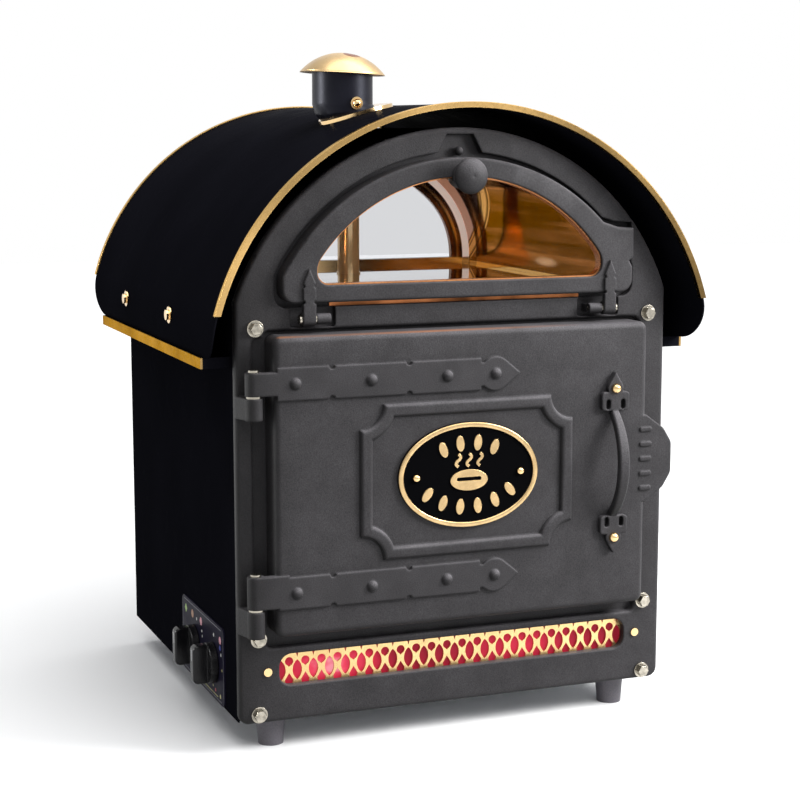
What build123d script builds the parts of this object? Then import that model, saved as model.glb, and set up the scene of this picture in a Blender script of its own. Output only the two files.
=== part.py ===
from build123d import *

import math
import os

# Baked potato oven: a cast front with an oven door below and a glazed display
# window above, under a round-topped canopy with a chimney.
# Millimetres. +Z is up, -Y is the front. The origin is under the middle of the
# oven, at the floor. "Depth" is measured backwards from the casting's front face.

os.makedirs("parts", exist_ok=True)

# ---------------------------------------------------------------- driving sizes
foot_height = 30.0
body_half = 218.0  # middle to the outside of a side panel
body_depth = 409.0  # side panels, front to back
sheet = 1.5  # steel panels and canopy
liner_sheet = 1.2  # oven and display linings
hair = 0.1  # gap between pieces that touch

casting_overlap = 1.0  # casting beyond the panels, all round
casting_rim = 8.0  # thickness ahead of the side panels
casting_plug = 8.0  # thickness inside the side panels
arch_margin = 13.0  # arch radius beyond the casting's half width
arch_drop_share = 0.275  # arch centre below the window's hinge line, of the half width
casting_edge = 4.0  # rounded front edge
recess_mouth = 3.0  # rounded mouths of the recesses

door_side_margin = 30.0  # casting edge to door edge
door_rise = 85.0  # base of the body to the bottom of the door
door_height = 277.5
door_front = 22.0  # door face ahead of the casting
door_back = 6.0  # door rim behind the casting's face
door_wall = 8.0
door_edge = 6.0
door_corner = 8.0
door_gap = 2.0  # door to the casting, at the right
door_top_gap = 3.0
door_slot = 15.0  # dark slot under the door
channel_width = 14.0  # hinge channel, left of the door

hinge_offset = 18.0  # door edge to hinge pin
hinge_front = 17.0  # hinge pin ahead of the casting
hinge_radius = 8.0
hinge_pin_radius = 3.0
pin_fit = 0.05  # running clearance of the hinge pins, radial
strap_half = 15.0
strap_relief = 3.0
knuckle_rises = (29.0, door_height - 52.5)  # door knuckles above the door's bottom edge
knuckle_lengths = (30.0, 21.0)
lug_lengths = (25.0, 20.0)
washer_thickness = 2.0
door_swing_gap = 0.5

window_hinge_rise = 13.5  # door top to window hinge line
window_front = 11.0  # window frame ahead of the casting
window_back = 7.5
window_side_margin = 42.0
window_base_rise = 14.9  # hinge line to the bottom of the frame
window_arch_lift = 4.0  # frame arch centre above the casting's
window_arch_inset = 31.2
window_rail = 15.6  # bottom rail of the frame
window_stile = 33.0
window_opening_inset = 28.0
window_opening_lift = 14.5
window_gap = 5.0  # frame to the recess wall
window_corner = 12.0
opening_corner_share = 0.615  # lower corners of the glazed opening, of its straight sides
opening_shoulder_share = 1.025  # where those sides meet the arch
glass_thickness = 4.0
glass_lap = 4.5
bezel_wall = 1.2
window_hinge_inset = 25.0  # frame's side to its hinges
window_hinge_front = 7.0
window_knuckle_radius = 6.5
window_pin_radius = 2.5
window_strap_half = 6.0
window_strap_height = 46.0

cavity_margin = 22.0  # door edge to the oven's inside wall
wool_back = 37.4  # wool behind the oven's lining
display_margin = 33.0  # body side to the display's inside wall
display_crown = 9.0  # casting arch to the display's lining

canopy_gap = 21.5  # casting arch to the canopy's outer face
canopy_front = 31.0  # canopy ahead of the casting
canopy_overhang = 50.0  # canopy behind the body
canopy_turn = 16.0  # degrees above and below level where the side curve starts
canopy_side_radius = 82.0
canopy_corner = 42.0
trim_width = 5.3
trim_depth = 6.0
trim_wall = 1.7
rail_height = 10.0
rail_front = 15.7
rail_overhang = 8.4  # rail behind the body

handle_stand = 28.0  # grip ahead of the door face
handle_inset = 37.0  # door's right edge to the handle

grille_rise = 48.1  # base of the body to the middle of the grille's slot
grille_side_margin = 39.0  # casting edge to the end of the slot
grille_height = 31.0
lattice_pitch = 16.0

knob_radius = 20.0
knob_depths = (85.5, 154.0)
knob_rise = 37.0

chimney_x = -76.5
chimney_depth = 110.0
chimney_radius = 29.2
chimney_height = 29.0  # straight part of the tube
cap_radius = 41.2
cap_height = 20.0
cap_tilt = 2.8  # degrees, down to the right

# ------------------------------------------------------------- places worked out
body_back = casting_rim + body_depth
canopy_back = body_back + canopy_overhang
face_y = (door_front + handle_stand - canopy_back - trim_wall) / 2
base_z = foot_height
casting_half = body_half + casting_overlap
casting_base_z = base_z - casting_overlap
casting_back = casting_rim + casting_plug
arch_radius = casting_half + arch_margin
door_half = casting_half - door_side_margin
door_base_z = base_z + door_rise
door_top_z = door_base_z + door_height
door_centre_z = (door_base_z + door_top_z) / 2
window_axis_z = door_top_z + window_hinge_rise
arch_z = window_axis_z - arch_drop_share * body_half
skin_radius = arch_radius - casting_overlap
shoulder_z = arch_z + math.sqrt(skin_radius**2 - body_half**2)
hinge_x = -door_half - hinge_offset
grille_half = casting_half - grille_side_margin
grille_z = base_z + grille_rise
knob_z = base_z + knob_rise


def at(depth):
    """Y of a place at a depth behind the casting's front face."""
    return face_y + depth


def front_plane(depth):
    """Plane facing the user at a depth: sketch x is X, sketch y is Z."""
    return Plane.XZ.offset(-at(depth))


def side_plane(x):
    """Plane facing +X: sketch x is Y, sketch y is Z."""
    return Plane.YZ.offset(x)


def save(piece, name):
    """Label a finished piece and write its STEP file."""
    piece.part.label = name
    export_step(piece.part, f"parts/{name}.step")


def arch_face(plane, half, low_z, centre_z, radius):
    """Upright outline with a flat base, straight sides and an arched top."""
    side_z = centre_z + math.sqrt(radius**2 - half**2)
    with BuildSketch(plane) as outline:
        with BuildLine():
            Polyline((-half, side_z), (-half, low_z), (half, low_z), (half, side_z))
            ThreePointArc((half, side_z), (0, centre_z + radius), (-half, side_z))
        make_face()
    return outline.sketch


def rounded_box(plane, x0, x1, z0, z1, radius):
    """Upright rounded rectangle between two X and two Z values."""
    with BuildSketch(plane) as outline:
        with Locations(((x0 + x1) / 2, (z0 + z1) / 2)):
            RectangleRounded(x1 - x0, z1 - z0, radius)
    return outline.sketch


def block(x, y, z, mode=Mode.ADD):
    """Box between two X, two Y and two Z values."""
    with Locations(((x[0] + x[1]) / 2, (y[0] + y[1]) / 2, (z[0] + z[1]) / 2)):
        Box(x[1] - x[0], y[1] - y[0], z[1] - z[0], mode=mode)


def rod(start, end, radius, mode=Mode.ADD):
    """Round rod between two points."""
    line = Vector(*end) - Vector(*start)
    with Locations(Plane(origin=start, z_dir=line)):
        Cylinder(radius, line.length, align=(Align.CENTER, Align.CENTER, Align.MIN), mode=mode)


# =============================================================== window outlines
window_half = casting_half - window_side_margin
window_hinge_x = window_half - window_hinge_inset
window_base_z = window_axis_z + window_base_rise
window_arch_z = arch_z + window_arch_lift
window_radius = arch_radius - window_arch_inset
window_top_z = window_arch_z + window_radius
opening_half = window_half - window_stile
opening_base_z = window_base_z + window_rail
opening_arch_z = arch_z + window_opening_lift
opening_radius = window_radius - window_opening_inset
opening_top_z = opening_arch_z + opening_radius
opening_side = opening_arch_z + math.sqrt(opening_radius**2 - opening_half**2) - opening_base_z
opening_corner = opening_corner_share * opening_side
opening_shoulder = opening_shoulder_share * opening_side
ear_x = casting_half - 41.0
ear_z = (window_base_z + 32.9, window_base_z + 61.3)
window_knob_z = opening_top_z + 0.5
boss_radius = 12.0


def window_outline(plane, grow, ear=True):
    """Outline of the window frame, grown by a distance, with its corner ear."""
    half = window_half + grow
    low_z = window_base_z - grow
    radius = window_radius + grow
    side_z = window_arch_z + math.sqrt(radius**2 - half**2)
    with BuildSketch(plane) as outline:
        with BuildLine():
            Polyline((-half, side_z), (-half, low_z), (half, low_z), (half, side_z))
            ThreePointArc((half, side_z), (0, window_arch_z + radius), (-half, side_z))
        make_face()
        fillet(outline.vertices().group_by(Axis.Y)[0], window_corner)
        if ear:
            with BuildLine():
                Polyline(
                    (ear_x - 38, ear_z[1] + 8 + grow),
                    (ear_x - 16, ear_z[1] + 1 + grow),
                    (ear_x + grow / 2, ear_z[1] + grow),
                    (ear_x + grow / 2, ear_z[0] - grow),
                    (ear_x - 8, ear_z[0] - 6 - grow),
                    (ear_x - 60, ear_z[0]),
                    close=True,
                )
            make_face()
    return outline.sketch


def glass_outline(plane, grow):
    """Outline of the window's glazed opening, grown by a distance."""
    with BuildSketch(plane) as outline:
        half = opening_half + grow
        low_z = opening_base_z - grow
        radius = opening_radius + grow
        side_z = opening_arch_z + math.sqrt(radius**2 - half**2)
        with BuildLine():
            Polyline((-half, side_z), (-half, low_z), (half, low_z), (half, side_z))
            ThreePointArc((half, side_z), (0, opening_arch_z + radius), (-half, side_z))
        make_face()
        fillet(outline.vertices().group_by(Axis.Y)[0], opening_corner + grow)
        fillet(outline.vertices().group_by(Axis.Y)[-1], opening_shoulder)
    return outline.sketch


# ================================================================= front casting
recess_left = -door_half - channel_width
recess_right = door_half + door_gap
recess_base_z = door_base_z - door_slot
recess_top_z = door_top_z + door_top_gap
cavity_half = door_half - cavity_margin
cavity_base_z = door_base_z + 13.0
cavity_top_z = door_top_z - 14.5
slot_left = -door_half - 4.0
channel_base_z = door_base_z + 3.0
channel_top_z = door_top_z - 3.0
lug_base_z = [
    door_base_z + rise - washer_thickness - 2 * hair - length
    for rise, length in zip(knuckle_rises, lug_lengths)
]
window_hole_half = opening_half + 13.0
window_hole_base_z = window_base_z + 3.0
bolt_x = casting_half - 19.0
bolt_z = (base_z + 8.0, base_z + 80.0, window_axis_z - 7.4)
grille_pocket_half = grille_half + 17.5
grille_pocket_height = grille_height + 9.0
grille_corner = 12.0
grille_screw_x = grille_half + 11.5
catch_half = 26.5
catch_top_half = 13.5
catch_height = 21.0
window_lug = (window_hinge_x - 21.0, window_hinge_x - 7.5)

with BuildPart() as front_casting:
    rim_face = arch_face(
        front_plane(casting_rim), casting_half, casting_base_z, arch_z, arch_radius
    )
    extrude(rim_face, amount=casting_rim)
    fillet(front_casting.edges().filter_by(Axis.Y).group_by(Axis.Z)[0], 10.0)
    fillet(front_casting.faces().sort_by(Axis.Y)[0].edges(), casting_edge)
    plug_half = body_half - sheet - hair
    plug_radius = skin_radius - sheet - hair
    plug_face = arch_face(
        front_plane(casting_back), plug_half, base_z + sheet + hair, arch_z, plug_radius
    )
    extrude(plug_face, amount=casting_plug)
    # Recesses for the oven door, its hinge channel and the window.
    with BuildSketch(front_plane(0)):
        add(rounded_box(Plane.XY, slot_left, recess_right, recess_base_z, recess_top_z, 7.0))
        add(rounded_box(Plane.XY, recess_left, slot_left + 20, channel_base_z, channel_top_z, 6.0))
    extrude(amount=-casting_rim, mode=Mode.SUBTRACT)
    with BuildSketch(front_plane(0)):
        add(window_outline(Plane.XY, window_gap))
    extrude(amount=-casting_rim, mode=Mode.SUBTRACT)
    mouths = front_casting.faces().sort_by(Axis.Y)[0].inner_wires()
    fillet([edge for wire in mouths for edge in wire.edges()], recess_mouth)
    # Notch over the window for its ball catch, and pockets behind its hinges.
    with BuildSketch(front_plane(0)):
        with BuildLine():
            notch_z = window_top_z - 4.0
            Polyline(
                (-catch_half, notch_z),
                (catch_half, notch_z),
                (catch_top_half, window_top_z + catch_height),
                (-catch_top_half, window_top_z + catch_height),
                close=True,
            )
        make_face()
    extrude(amount=-casting_rim, mode=Mode.SUBTRACT)
    with BuildSketch(front_plane(0)):
        for side in (-1, 1):
            with Locations((side * (window_hinge_x - 7), window_axis_z + 1)):
                RectangleRounded(44, 19, 3)
    extrude(amount=-casting_rim + 2, mode=Mode.SUBTRACT)
    # Openings right through: the oven's mouth, the display and the grille.
    with BuildSketch(front_plane(0)):
        add(rounded_box(Plane.XY, -cavity_half, cavity_half, cavity_base_z, cavity_top_z, 10.0))
        add(
            arch_face(
                Plane.XY,
                window_hole_half,
                window_hole_base_z,
                opening_arch_z - 4.0,
                opening_radius + 14.0,
            )
        )
        with Locations((0, grille_z)):
            RectangleRounded(2 * grille_half, grille_height, grille_corner)
    extrude(amount=-casting_back, mode=Mode.SUBTRACT)
    with BuildSketch(front_plane(casting_back)):
        with Locations((0, grille_z)):
            RectangleRounded(2 * grille_pocket_half, grille_pocket_height, 4.0)
    extrude(amount=casting_plug, mode=Mode.SUBTRACT)
    # Lugs that carry the oven door's hinge pins.
    for low_z, length in zip(lug_base_z, lug_lengths):
        with BuildSketch(Plane.XY.offset(low_z)):
            with BuildLine():
                Polyline(
                    (-casting_half, at(3)),
                    (-casting_half, at(0)),
                    (hinge_x - hinge_radius + 1.5, at(-hinge_front - 2)),
                    (hinge_x, at(-hinge_front)),
                    (hinge_x, at(3)),
                    close=True,
                )
            make_face()
            with Locations((hinge_x, at(-hinge_front))):
                Circle(hinge_radius)
        extrude(amount=length)
        with Locations((hinge_x, at(-hinge_front), low_z + length / 2)):
            Cylinder(hinge_pin_radius + 0.02, length + 2, mode=Mode.SUBTRACT)
    # Barrels that carry the window's hinge pins.
    for side in (-1, 1):
        middle_x = side * (window_lug[0] + window_lug[1]) / 2
        length = window_lug[1] - window_lug[0]
        with BuildSketch(side_plane(middle_x)):
            with Locations((at(-window_hinge_front), window_axis_z)):
                Circle(5.0)
            with Locations((at(-window_hinge_front / 2 + 4), window_axis_z)):
                Rectangle(window_hinge_front + 8, 7.0)
        extrude(amount=length / 2, both=True)
        with Locations((middle_x, at(-window_hinge_front), window_axis_z)):
            Cylinder(window_pin_radius + 0.02, length + 2, rotation=(0, 90, 0), mode=Mode.SUBTRACT)
    # Holes for the bolts and the grille screws.
    with Locations(front_plane(0)):
        with Locations([(side * bolt_x, z) for side in (-1, 1) for z in bolt_z]):
            Hole(3.3)
        with Locations([(side * grille_screw_x, grille_z) for side in (-1, 1)]):
            Hole(2.1)
save(front_casting, "front_casting")


# ===================================================================== body shell
inner_half = body_half - sheet - hair
inner_back = body_back - sheet - hair
screw_depths = (125.0, body_back - 112.0)
canopy_screw_z = arch_z + 55.0
canopy_screw_radius = 2.5
rail_low_z = arch_z + 16.0
rail_top_z = rail_low_z + rail_height

for side, name in ((-1, "side_panel_left"), (1, "side_panel_right")):
    with BuildPart() as side_panel:
        x = sorted((side * body_half, side * (body_half - sheet)))
        block(x, (at(casting_rim + hair), at(body_back)), (base_z, shoulder_z))
        for depth in screw_depths:
            ends = [(end, at(depth), canopy_screw_z) for end in (x[0] - 1, x[1] + 1)]
            rod(*ends, canopy_screw_radius + 0.1, Mode.SUBTRACT)
        if side < 0:
            for depth in knob_depths:
                rod((x[0] - 1, at(depth), knob_z), (x[1] + 1, at(depth), knob_z), 4.5, Mode.SUBTRACT)
    save(side_panel, name)

with BuildPart() as barrel_skin:
    with BuildSketch(front_plane(casting_rim + hair)):
        with Locations((0, arch_z)):
            Circle(skin_radius)
            Circle(skin_radius - sheet, mode=Mode.SUBTRACT)
        with Locations((0, shoulder_z + hair + skin_radius / 2)):
            Rectangle(3 * skin_radius, skin_radius, mode=Mode.INTERSECT)
    extrude(amount=-body_depth + hair)
save(barrel_skin, "barrel_skin")

foot_x = body_half - 38.0
foot_depths = (30.0, body_back - 30.0)
foot_spots = [(side * foot_x, at(depth)) for side in (-1, 1) for depth in foot_depths]

with BuildPart() as base_tray:
    tray_y = (at(casting_back + hair), at(inner_back - hair))
    block((-inner_half, inner_half), tray_y, (base_z, base_z + sheet))
    for side in (-1, 1):
        block(sorted((side * inner_half, side * (inner_half - sheet))), tray_y, (base_z, base_z + 15))
    for spot in foot_spots:
        rod((*spot, base_z - 1), (*spot, base_z + sheet + 1), 2.6, Mode.SUBTRACT)
save(base_tray, "base_tray")

with BuildPart() as feet:
    with Locations([(*spot, 0) for spot in foot_spots]):
        Cone(12.0, 14.5, foot_height - hair, align=(Align.CENTER, Align.CENTER, Align.MIN))
    for spot in foot_spots:
        rod((*spot, foot_height - 1), (*spot, base_z + 9), 2.5)
save(feet, "feet")

# ================================================================ display chamber
display_floor_z = window_axis_z + 14.0
display_half = body_half - display_margin
display_radius = arch_radius - display_crown
display_back = inner_back - glass_thickness - hair
rear_frame_side = 23.0
rear_frame_base = 7.0
rear_frame_depth = 6.0
# The display's sides run straight for a little, then curve over to meet its arch.
display_side_z = display_floor_z + rear_frame_base + 2.0
display_shoulder = (
    (display_radius**2 - display_half**2 - (display_side_z - arch_z) ** 2)
    / (2 * (display_radius - display_half))
)


def display_outline(plane, grow, low_z=display_floor_z):
    """Cross-section of the display chamber, grown by a distance."""
    half = display_half + grow
    radius = display_radius + grow
    side_z = arch_z + math.sqrt(radius**2 - half**2)
    with BuildSketch(plane) as outline:
        with BuildLine():
            Polyline((-half, side_z), (-half, low_z), (half, low_z), (half, side_z))
            ThreePointArc((half, side_z), (0, arch_z + radius), (-half, side_z))
        make_face()
        shoulders = outline.vertices().sort_by(Axis.Y)[-2:]
        fillet(shoulders, display_shoulder + grow)
    return outline.sketch


with BuildPart() as display_floor:
    floor_half = display_half + liner_sheet
    floor_y = (at(casting_back + hair), at(display_back))
    block((-floor_half, floor_half), floor_y, (display_floor_z - liner_sheet, display_floor_z))
save(display_floor, "display_floor")

with BuildPart() as display_liner:
    liner_length = display_back - casting_back - hair
    with BuildSketch(front_plane(casting_back + hair)):
        add(display_outline(Plane.XY, liner_sheet, display_floor_z + hair))
        add(display_outline(Plane.XY, 0, display_floor_z - 1), mode=Mode.SUBTRACT)
    extrude(amount=-liner_length)
save(display_liner, "display_liner")

with BuildPart() as rear_arch_frame:
    with BuildSketch(front_plane(display_back)):
        add(display_outline(Plane.XY, -0.3, display_floor_z + hair))
        add(
            display_outline(Plane.XY, -rear_frame_side, display_floor_z + rear_frame_base),
            mode=Mode.SUBTRACT,
        )
    extrude(amount=rear_frame_depth)
save(rear_arch_frame, "rear_arch_frame")

with BuildPart() as rear_glass:
    extrude(display_outline(front_plane(inner_back), -2.0), amount=glass_thickness)
save(rear_glass, "rear_glass")

gland_spot = (-body_half + 68.0, base_z + 45.0)
gland_radius = 10.0
gland_bore = 4.5

with BuildPart() as rear_panel:
    extrude(
        arch_face(
            front_plane(body_back), inner_half, base_z + sheet + hair, arch_z, skin_radius - sheet - hair
        ),
        amount=sheet,
    )
    with BuildSketch(front_plane(body_back)):
        add(display_outline(Plane.XY, -rear_frame_side + 2, display_floor_z + rear_frame_base))
        with Locations(gland_spot):
            Circle(gland_radius + hair)
    extrude(amount=sheet, mode=Mode.SUBTRACT)
save(rear_panel, "rear_panel")

with BuildPart() as cable_gland:
    gland_y = at(body_back)
    ends = [(gland_spot[0], gland_y + reach, gland_spot[1]) for reach in (-12, 14)]
    rod(*ends, gland_radius)
    with BuildSketch(Plane.XZ.offset(-gland_y - hair)):
        with Locations(gland_spot):
            RegularPolygon(14.0, 6, major_radius=False)
    extrude(amount=-6)
    ends = [(gland_spot[0], gland_y + reach, gland_spot[1]) for reach in (-13, 15)]
    rod(*ends, gland_bore, Mode.SUBTRACT)
save(cable_gland, "cable_gland")

column_depth = body_back - 108.0
column_radius = 12.0
column_top_z = arch_z + math.sqrt(display_radius**2 - (column_radius + 5) ** 2) - 0.2

with BuildPart() as display_column:
    column_y = at(column_depth)
    rod((0, column_y, display_floor_z + hair), (0, column_y, column_top_z), column_radius)
    rod((0, column_y, display_floor_z + hair), (0, column_y, display_floor_z + 2), column_radius + 1)
    rod((0, column_y, column_top_z - 2), (0, column_y, column_top_z), column_radius + 5)
    rod(
        (0, column_y, display_floor_z - 1),
        (0, column_y, column_top_z + 1),
        column_radius - 1.5,
        Mode.SUBTRACT,
    )
save(display_column, "display_column")

lamp_depth = 60.0
lamp_half = 40.0
lamp_z = arch_z + display_radius - 26.0
bracket_top_z = arch_z + math.sqrt(display_radius**2 - (lamp_half + 9) ** 2) - 0.2

with BuildPart() as display_lamp:
    rod((-lamp_half, at(lamp_depth), lamp_z), (lamp_half, at(lamp_depth), lamp_z), 9.0)
save(display_lamp, "display_lamp")

with BuildPart() as sill_strip:
    sill_half = window_lug[0] - 4.0
    sill_base_z = window_base_z - window_gap + 0.4
    block(
        (-sill_half, sill_half),
        (at(casting_rim - 2.2), at(casting_rim - hair)),
        (sill_base_z, window_base_z - 0.6),
    )
save(sill_strip, "sill_strip")

# =================================================================== oven chamber
cavity_back = body_back - sheet - hair - wool_back
flange = 14.0
element_z = {"element_upper": cavity_top_z - 13.0, "element_lower": cavity_base_z + 12.0}
element_radius = 4.0
element_half = cavity_half - 47.0
element_hole = element_radius + 0.2
ledge_z = (cavity_base_z + 60.0, cavity_base_z + 150.0)
ledge_width = 10.0

with BuildPart() as oven_liner:
    block(
        (-cavity_half - liner_sheet, cavity_half + liner_sheet),
        (at(casting_back + hair), at(cavity_back + liner_sheet)),
        (cavity_base_z - liner_sheet, cavity_top_z + liner_sheet),
    )
    block(
        (-cavity_half - flange, cavity_half + flange),
        (at(casting_back + hair), at(casting_back + hair + liner_sheet)),
        (cavity_base_z - flange, cavity_top_z + flange),
    )
    block(
        (-cavity_half, cavity_half),
        (at(casting_back - 1), at(cavity_back)),
        (cavity_base_z, cavity_top_z),
        Mode.SUBTRACT,
    )
    for z in element_z.values():
        for side in (-1, 1):
            x = side * element_half
            rod((x, at(cavity_back - 1), z), (x, at(cavity_back + 3), z), element_hole, Mode.SUBTRACT)
save(oven_liner, "oven_liner")

for name, z in element_z.items():
    with BuildPart() as element:
        rear_y = at(cavity_back + 3)
        near_y = at(casting_back + 55)
        far_y = at(cavity_back - 50)
        stay_y = (near_y + far_y) / 2
        inner_x = element_half / 3
        with BuildLine() as element_path:
            FilletPolyline(
                (-element_half, rear_y, z),
                (-element_half, near_y, z),
                (-inner_x, near_y, z),
                (-inner_x, far_y, z),
                (inner_x, far_y, z),
                (inner_x, near_y, z),
                (element_half, near_y, z),
                (element_half, rear_y, z),
                radius=25.0,
            )
        with BuildSketch(Plane(origin=(-element_half, rear_y, z), z_dir=(0, -1, 0))):
            Circle(element_radius)
        sweep(path=element_path.line)
        for x in (-inner_x, inner_x):
            toward = cavity_top_z - 0.3 if z > door_centre_z else cavity_base_z + 0.3
            rod((x, stay_y, z), (x, stay_y, toward), 2.0)
    save(element, name)

with BuildPart() as shelf_runners:
    for side in (-1, 1):
        wall_x = side * (cavity_half - hair)
        block(
            sorted((wall_x, wall_x - side * 1.2)),
            (at(casting_back + 25), at(cavity_back - 12)),
            (ledge_z[0] - 20, ledge_z[1] + 20),
        )
        for z in ledge_z:
            block(
                sorted((wall_x, wall_x - side * ledge_width)),
                (at(casting_back + 25), at(cavity_back - 12)),
                (z - 1.2, z),
            )
save(shelf_runners, "shelf_runners")

rack_half = cavity_half - 4.0
rack_front = casting_back + 28.0
rack_back = cavity_back - 16.0
rack_corner = 12.0
rack_rod = 2.5
rack_wire = 1.5
rack_wire_lift = 0.6
rack_pitch = 24.0

with BuildPart() as oven_rack:
    with BuildLine() as rack_side:
        FilletPolyline(
            (0, at(rack_front), 0),
            (rack_half, at(rack_front), 0),
            (rack_half, at(rack_back), 0),
            (0, at(rack_back), 0),
            radius=rack_corner,
        )
    with BuildSketch(Plane(origin=(0, at(rack_front), 0), z_dir=(1, 0, 0))):
        Circle(rack_rod)
    sweep(path=rack_side.line)
    mirror(about=Plane.YZ)
    wires = math.floor(2 * rack_half / rack_pitch)
    for step in range(1, wires + 1):
        x = -rack_half + step * 2 * rack_half / (wires + 1)
        rod((x, at(rack_front), rack_wire_lift), (x, at(rack_back), rack_wire_lift), rack_wire)

for name, z in (("oven_rack_lower", ledge_z[0]), ("oven_rack_upper", ledge_z[1])):
    with BuildPart() as placed_rack:
        with Locations((0, 0, z + rack_rod + hair)):
            add(oven_rack.part)
    save(placed_rack, name)

with BuildPart() as insulation:
    wool_z = (cavity_base_z, cavity_top_z)
    wool_y = (at(casting_back + 4), at(cavity_back))
    clear = liner_sheet + 0.3
    for side in (-1, 1):
        block(sorted((side * (cavity_half + clear), side * (cavity_half + 34))), wool_y, wool_z)
    block((-cavity_half, cavity_half), wool_y, (cavity_top_z + clear, display_floor_z - clear))
    block((-cavity_half, cavity_half), (at(cavity_back + 5), at(inner_back - 0.3)), wool_z)
save(insulation, "insulation")

# ============================================================ lit grille and lamp
grille_wall = 2.0
lens_half_width = 4.6
lens_half_height = 9.7
lattice_z = grille_z - 2.9  # the pattern sits a little low in its slot

with BuildPart() as grille:
    grille_plane = front_plane(casting_rim + hair + grille_wall)
    with BuildSketch(grille_plane):
        with Locations((0, grille_z)):
            RectangleRounded(2 * grille_pocket_half - 1, grille_pocket_height - 1, 3.5)
    extrude(amount=grille_wall)
    with BuildSketch(Plane.XY) as lens:
        with BuildLine():
            for side in (-1, 1):
                ThreePointArc((0, -lens_half_height), (side * lens_half_width, 0), (0, lens_half_height))
        make_face()
        # Small nick in the brass above the lens.
        Polygon((-1.8, 18.5), (0, 12.0), (1.8, 18.5), align=None)
    with BuildSketch(Plane.XY) as drops:
        middle = lattice_pitch / 2
        with Locations((middle, 8.4)):
            Circle(4.1)
        Polygon((middle - 3.7, 6.6), (middle, 3.2), (middle + 3.7, 6.6), align=None)
        Polygon(
            (middle - 3.4, -13.6),
            (middle + 3.4, -13.6),
            (middle + 4.3, -9.6),
            (middle, -2.8),
            (middle - 4.3, -9.6),
            align=None,
        )
    reach = math.floor(grille_half / lattice_pitch)
    lens_spots = [(step * lattice_pitch, lattice_z) for step in range(-reach, reach + 1)]
    with BuildSketch(grille_plane):
        with Locations(lens_spots):
            add(lens.sketch)
        with Locations(lens_spots[:-1]):
            add(drops.sketch)
    extrude(amount=grille_wall, mode=Mode.SUBTRACT)
    with Locations(grille_plane):
        with Locations([(side * grille_screw_x, grille_z) for side in (-1, 1)]):
            Hole(2.1)
save(grille, "grille")

with BuildPart() as grille_diffuser:
    with BuildSketch(front_plane(casting_rim + grille_wall + 2 * hair)):
        with Locations((0, grille_z)):
            RectangleRounded(2 * grille_screw_x - 8, grille_pocket_height - 2, 3.5)
    extrude(amount=-2.5)
save(grille_diffuser, "grille_diffuser")

with BuildPart() as grille_screws:
    for side in (-1, 1):
        x = side * grille_screw_x
        rod((x, at(-1.8), grille_z), (x, at(-hair), grille_z), 4.0)
        rod((x, at(-1), grille_z), (x, at(casting_back), grille_z), 2.0)
save(grille_screws, "grille_screws")

tube_lamp_half = grille_half - 30.0
tube_lamp_depth = casting_back + 24.0

with BuildPart() as grille_lamp:
    ends = [(x, at(tube_lamp_depth), grille_z) for x in (-tube_lamp_half, tube_lamp_half)]
    rod(*ends, 8.0)
save(grille_lamp, "grille_lamp")

with BuildPart() as lamp_holders:
    for side in (-1, 1):
        x = sorted((side * (lamp_half + hair), side * (lamp_half + 9)))
        block(x, (at(lamp_depth - 11), at(lamp_depth + 11)), (lamp_z - 11, bracket_top_z))
        x = sorted((side * (tube_lamp_half + hair), side * (tube_lamp_half + 9)))
        lamp_y = (at(tube_lamp_depth - 7), at(tube_lamp_depth + 11))
        block(x, lamp_y, (base_z + sheet + hair, grille_z + 11))
save(lamp_holders, "lamp_holders")

# ========================================================================== bolts
bolt_washer_radius = 7.75
bolt_washer = 1.6
bolt_radius = 3.2
bolt_head_half = 5.0
bolt_head = 5.4

with BuildPart() as front_bolts:
    for side in (-1, 1):
        for z in bolt_z:
            x = side * bolt_x
            rod((x, at(-bolt_washer), z), (x, at(-hair), z), bolt_washer_radius)
            rod((x, at(-1), z), (x, at(casting_back + 5), z), bolt_radius)
            with BuildSketch(front_plane(-bolt_washer)):
                with Locations((x, z)):
                    RegularPolygon(bolt_head_half, 6, major_radius=False)
            extrude(amount=bolt_head)
    heads = front_bolts.faces().filter_by(Axis.Y).group_by(Axis.Y)[0]
    fillet(heads.edges(), 0.8)
save(front_bolts, "front_bolts")

# ======================================================================= controls
plate_depths = (49.0, 203.0)
plate_z = (base_z + 1.0, base_z + 78.0)
plate_wall = 1.4
plate_corner = 8.0
plate_face_x = -body_half - plate_wall - hair
knob_gap = 0.6  # plate to the knob's skirt
skirt_height = 7.0
grip_height = 14.4
grip_width = 12.0
grip_length = 38.0
grip_corner = 5.5
spindle_radius = 3.0
housing_half = 18.0
knob_names = (("thermostat", "thermostat"), ("selector", "selector_switch"))

with BuildPart() as control_plate:
    with BuildSketch(side_plane(-body_half - hair)):
        with Locations((at(sum(plate_depths) / 2), sum(plate_z) / 2)):
            RectangleRounded(plate_depths[1] - plate_depths[0], plate_z[1] - plate_z[0], plate_corner)
        with Locations([(at(depth), knob_z) for depth in knob_depths]):
            Circle(spindle_radius + 1.5, mode=Mode.SUBTRACT)
    extrude(amount=-plate_wall)
save(control_plate, "control_plate")

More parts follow.
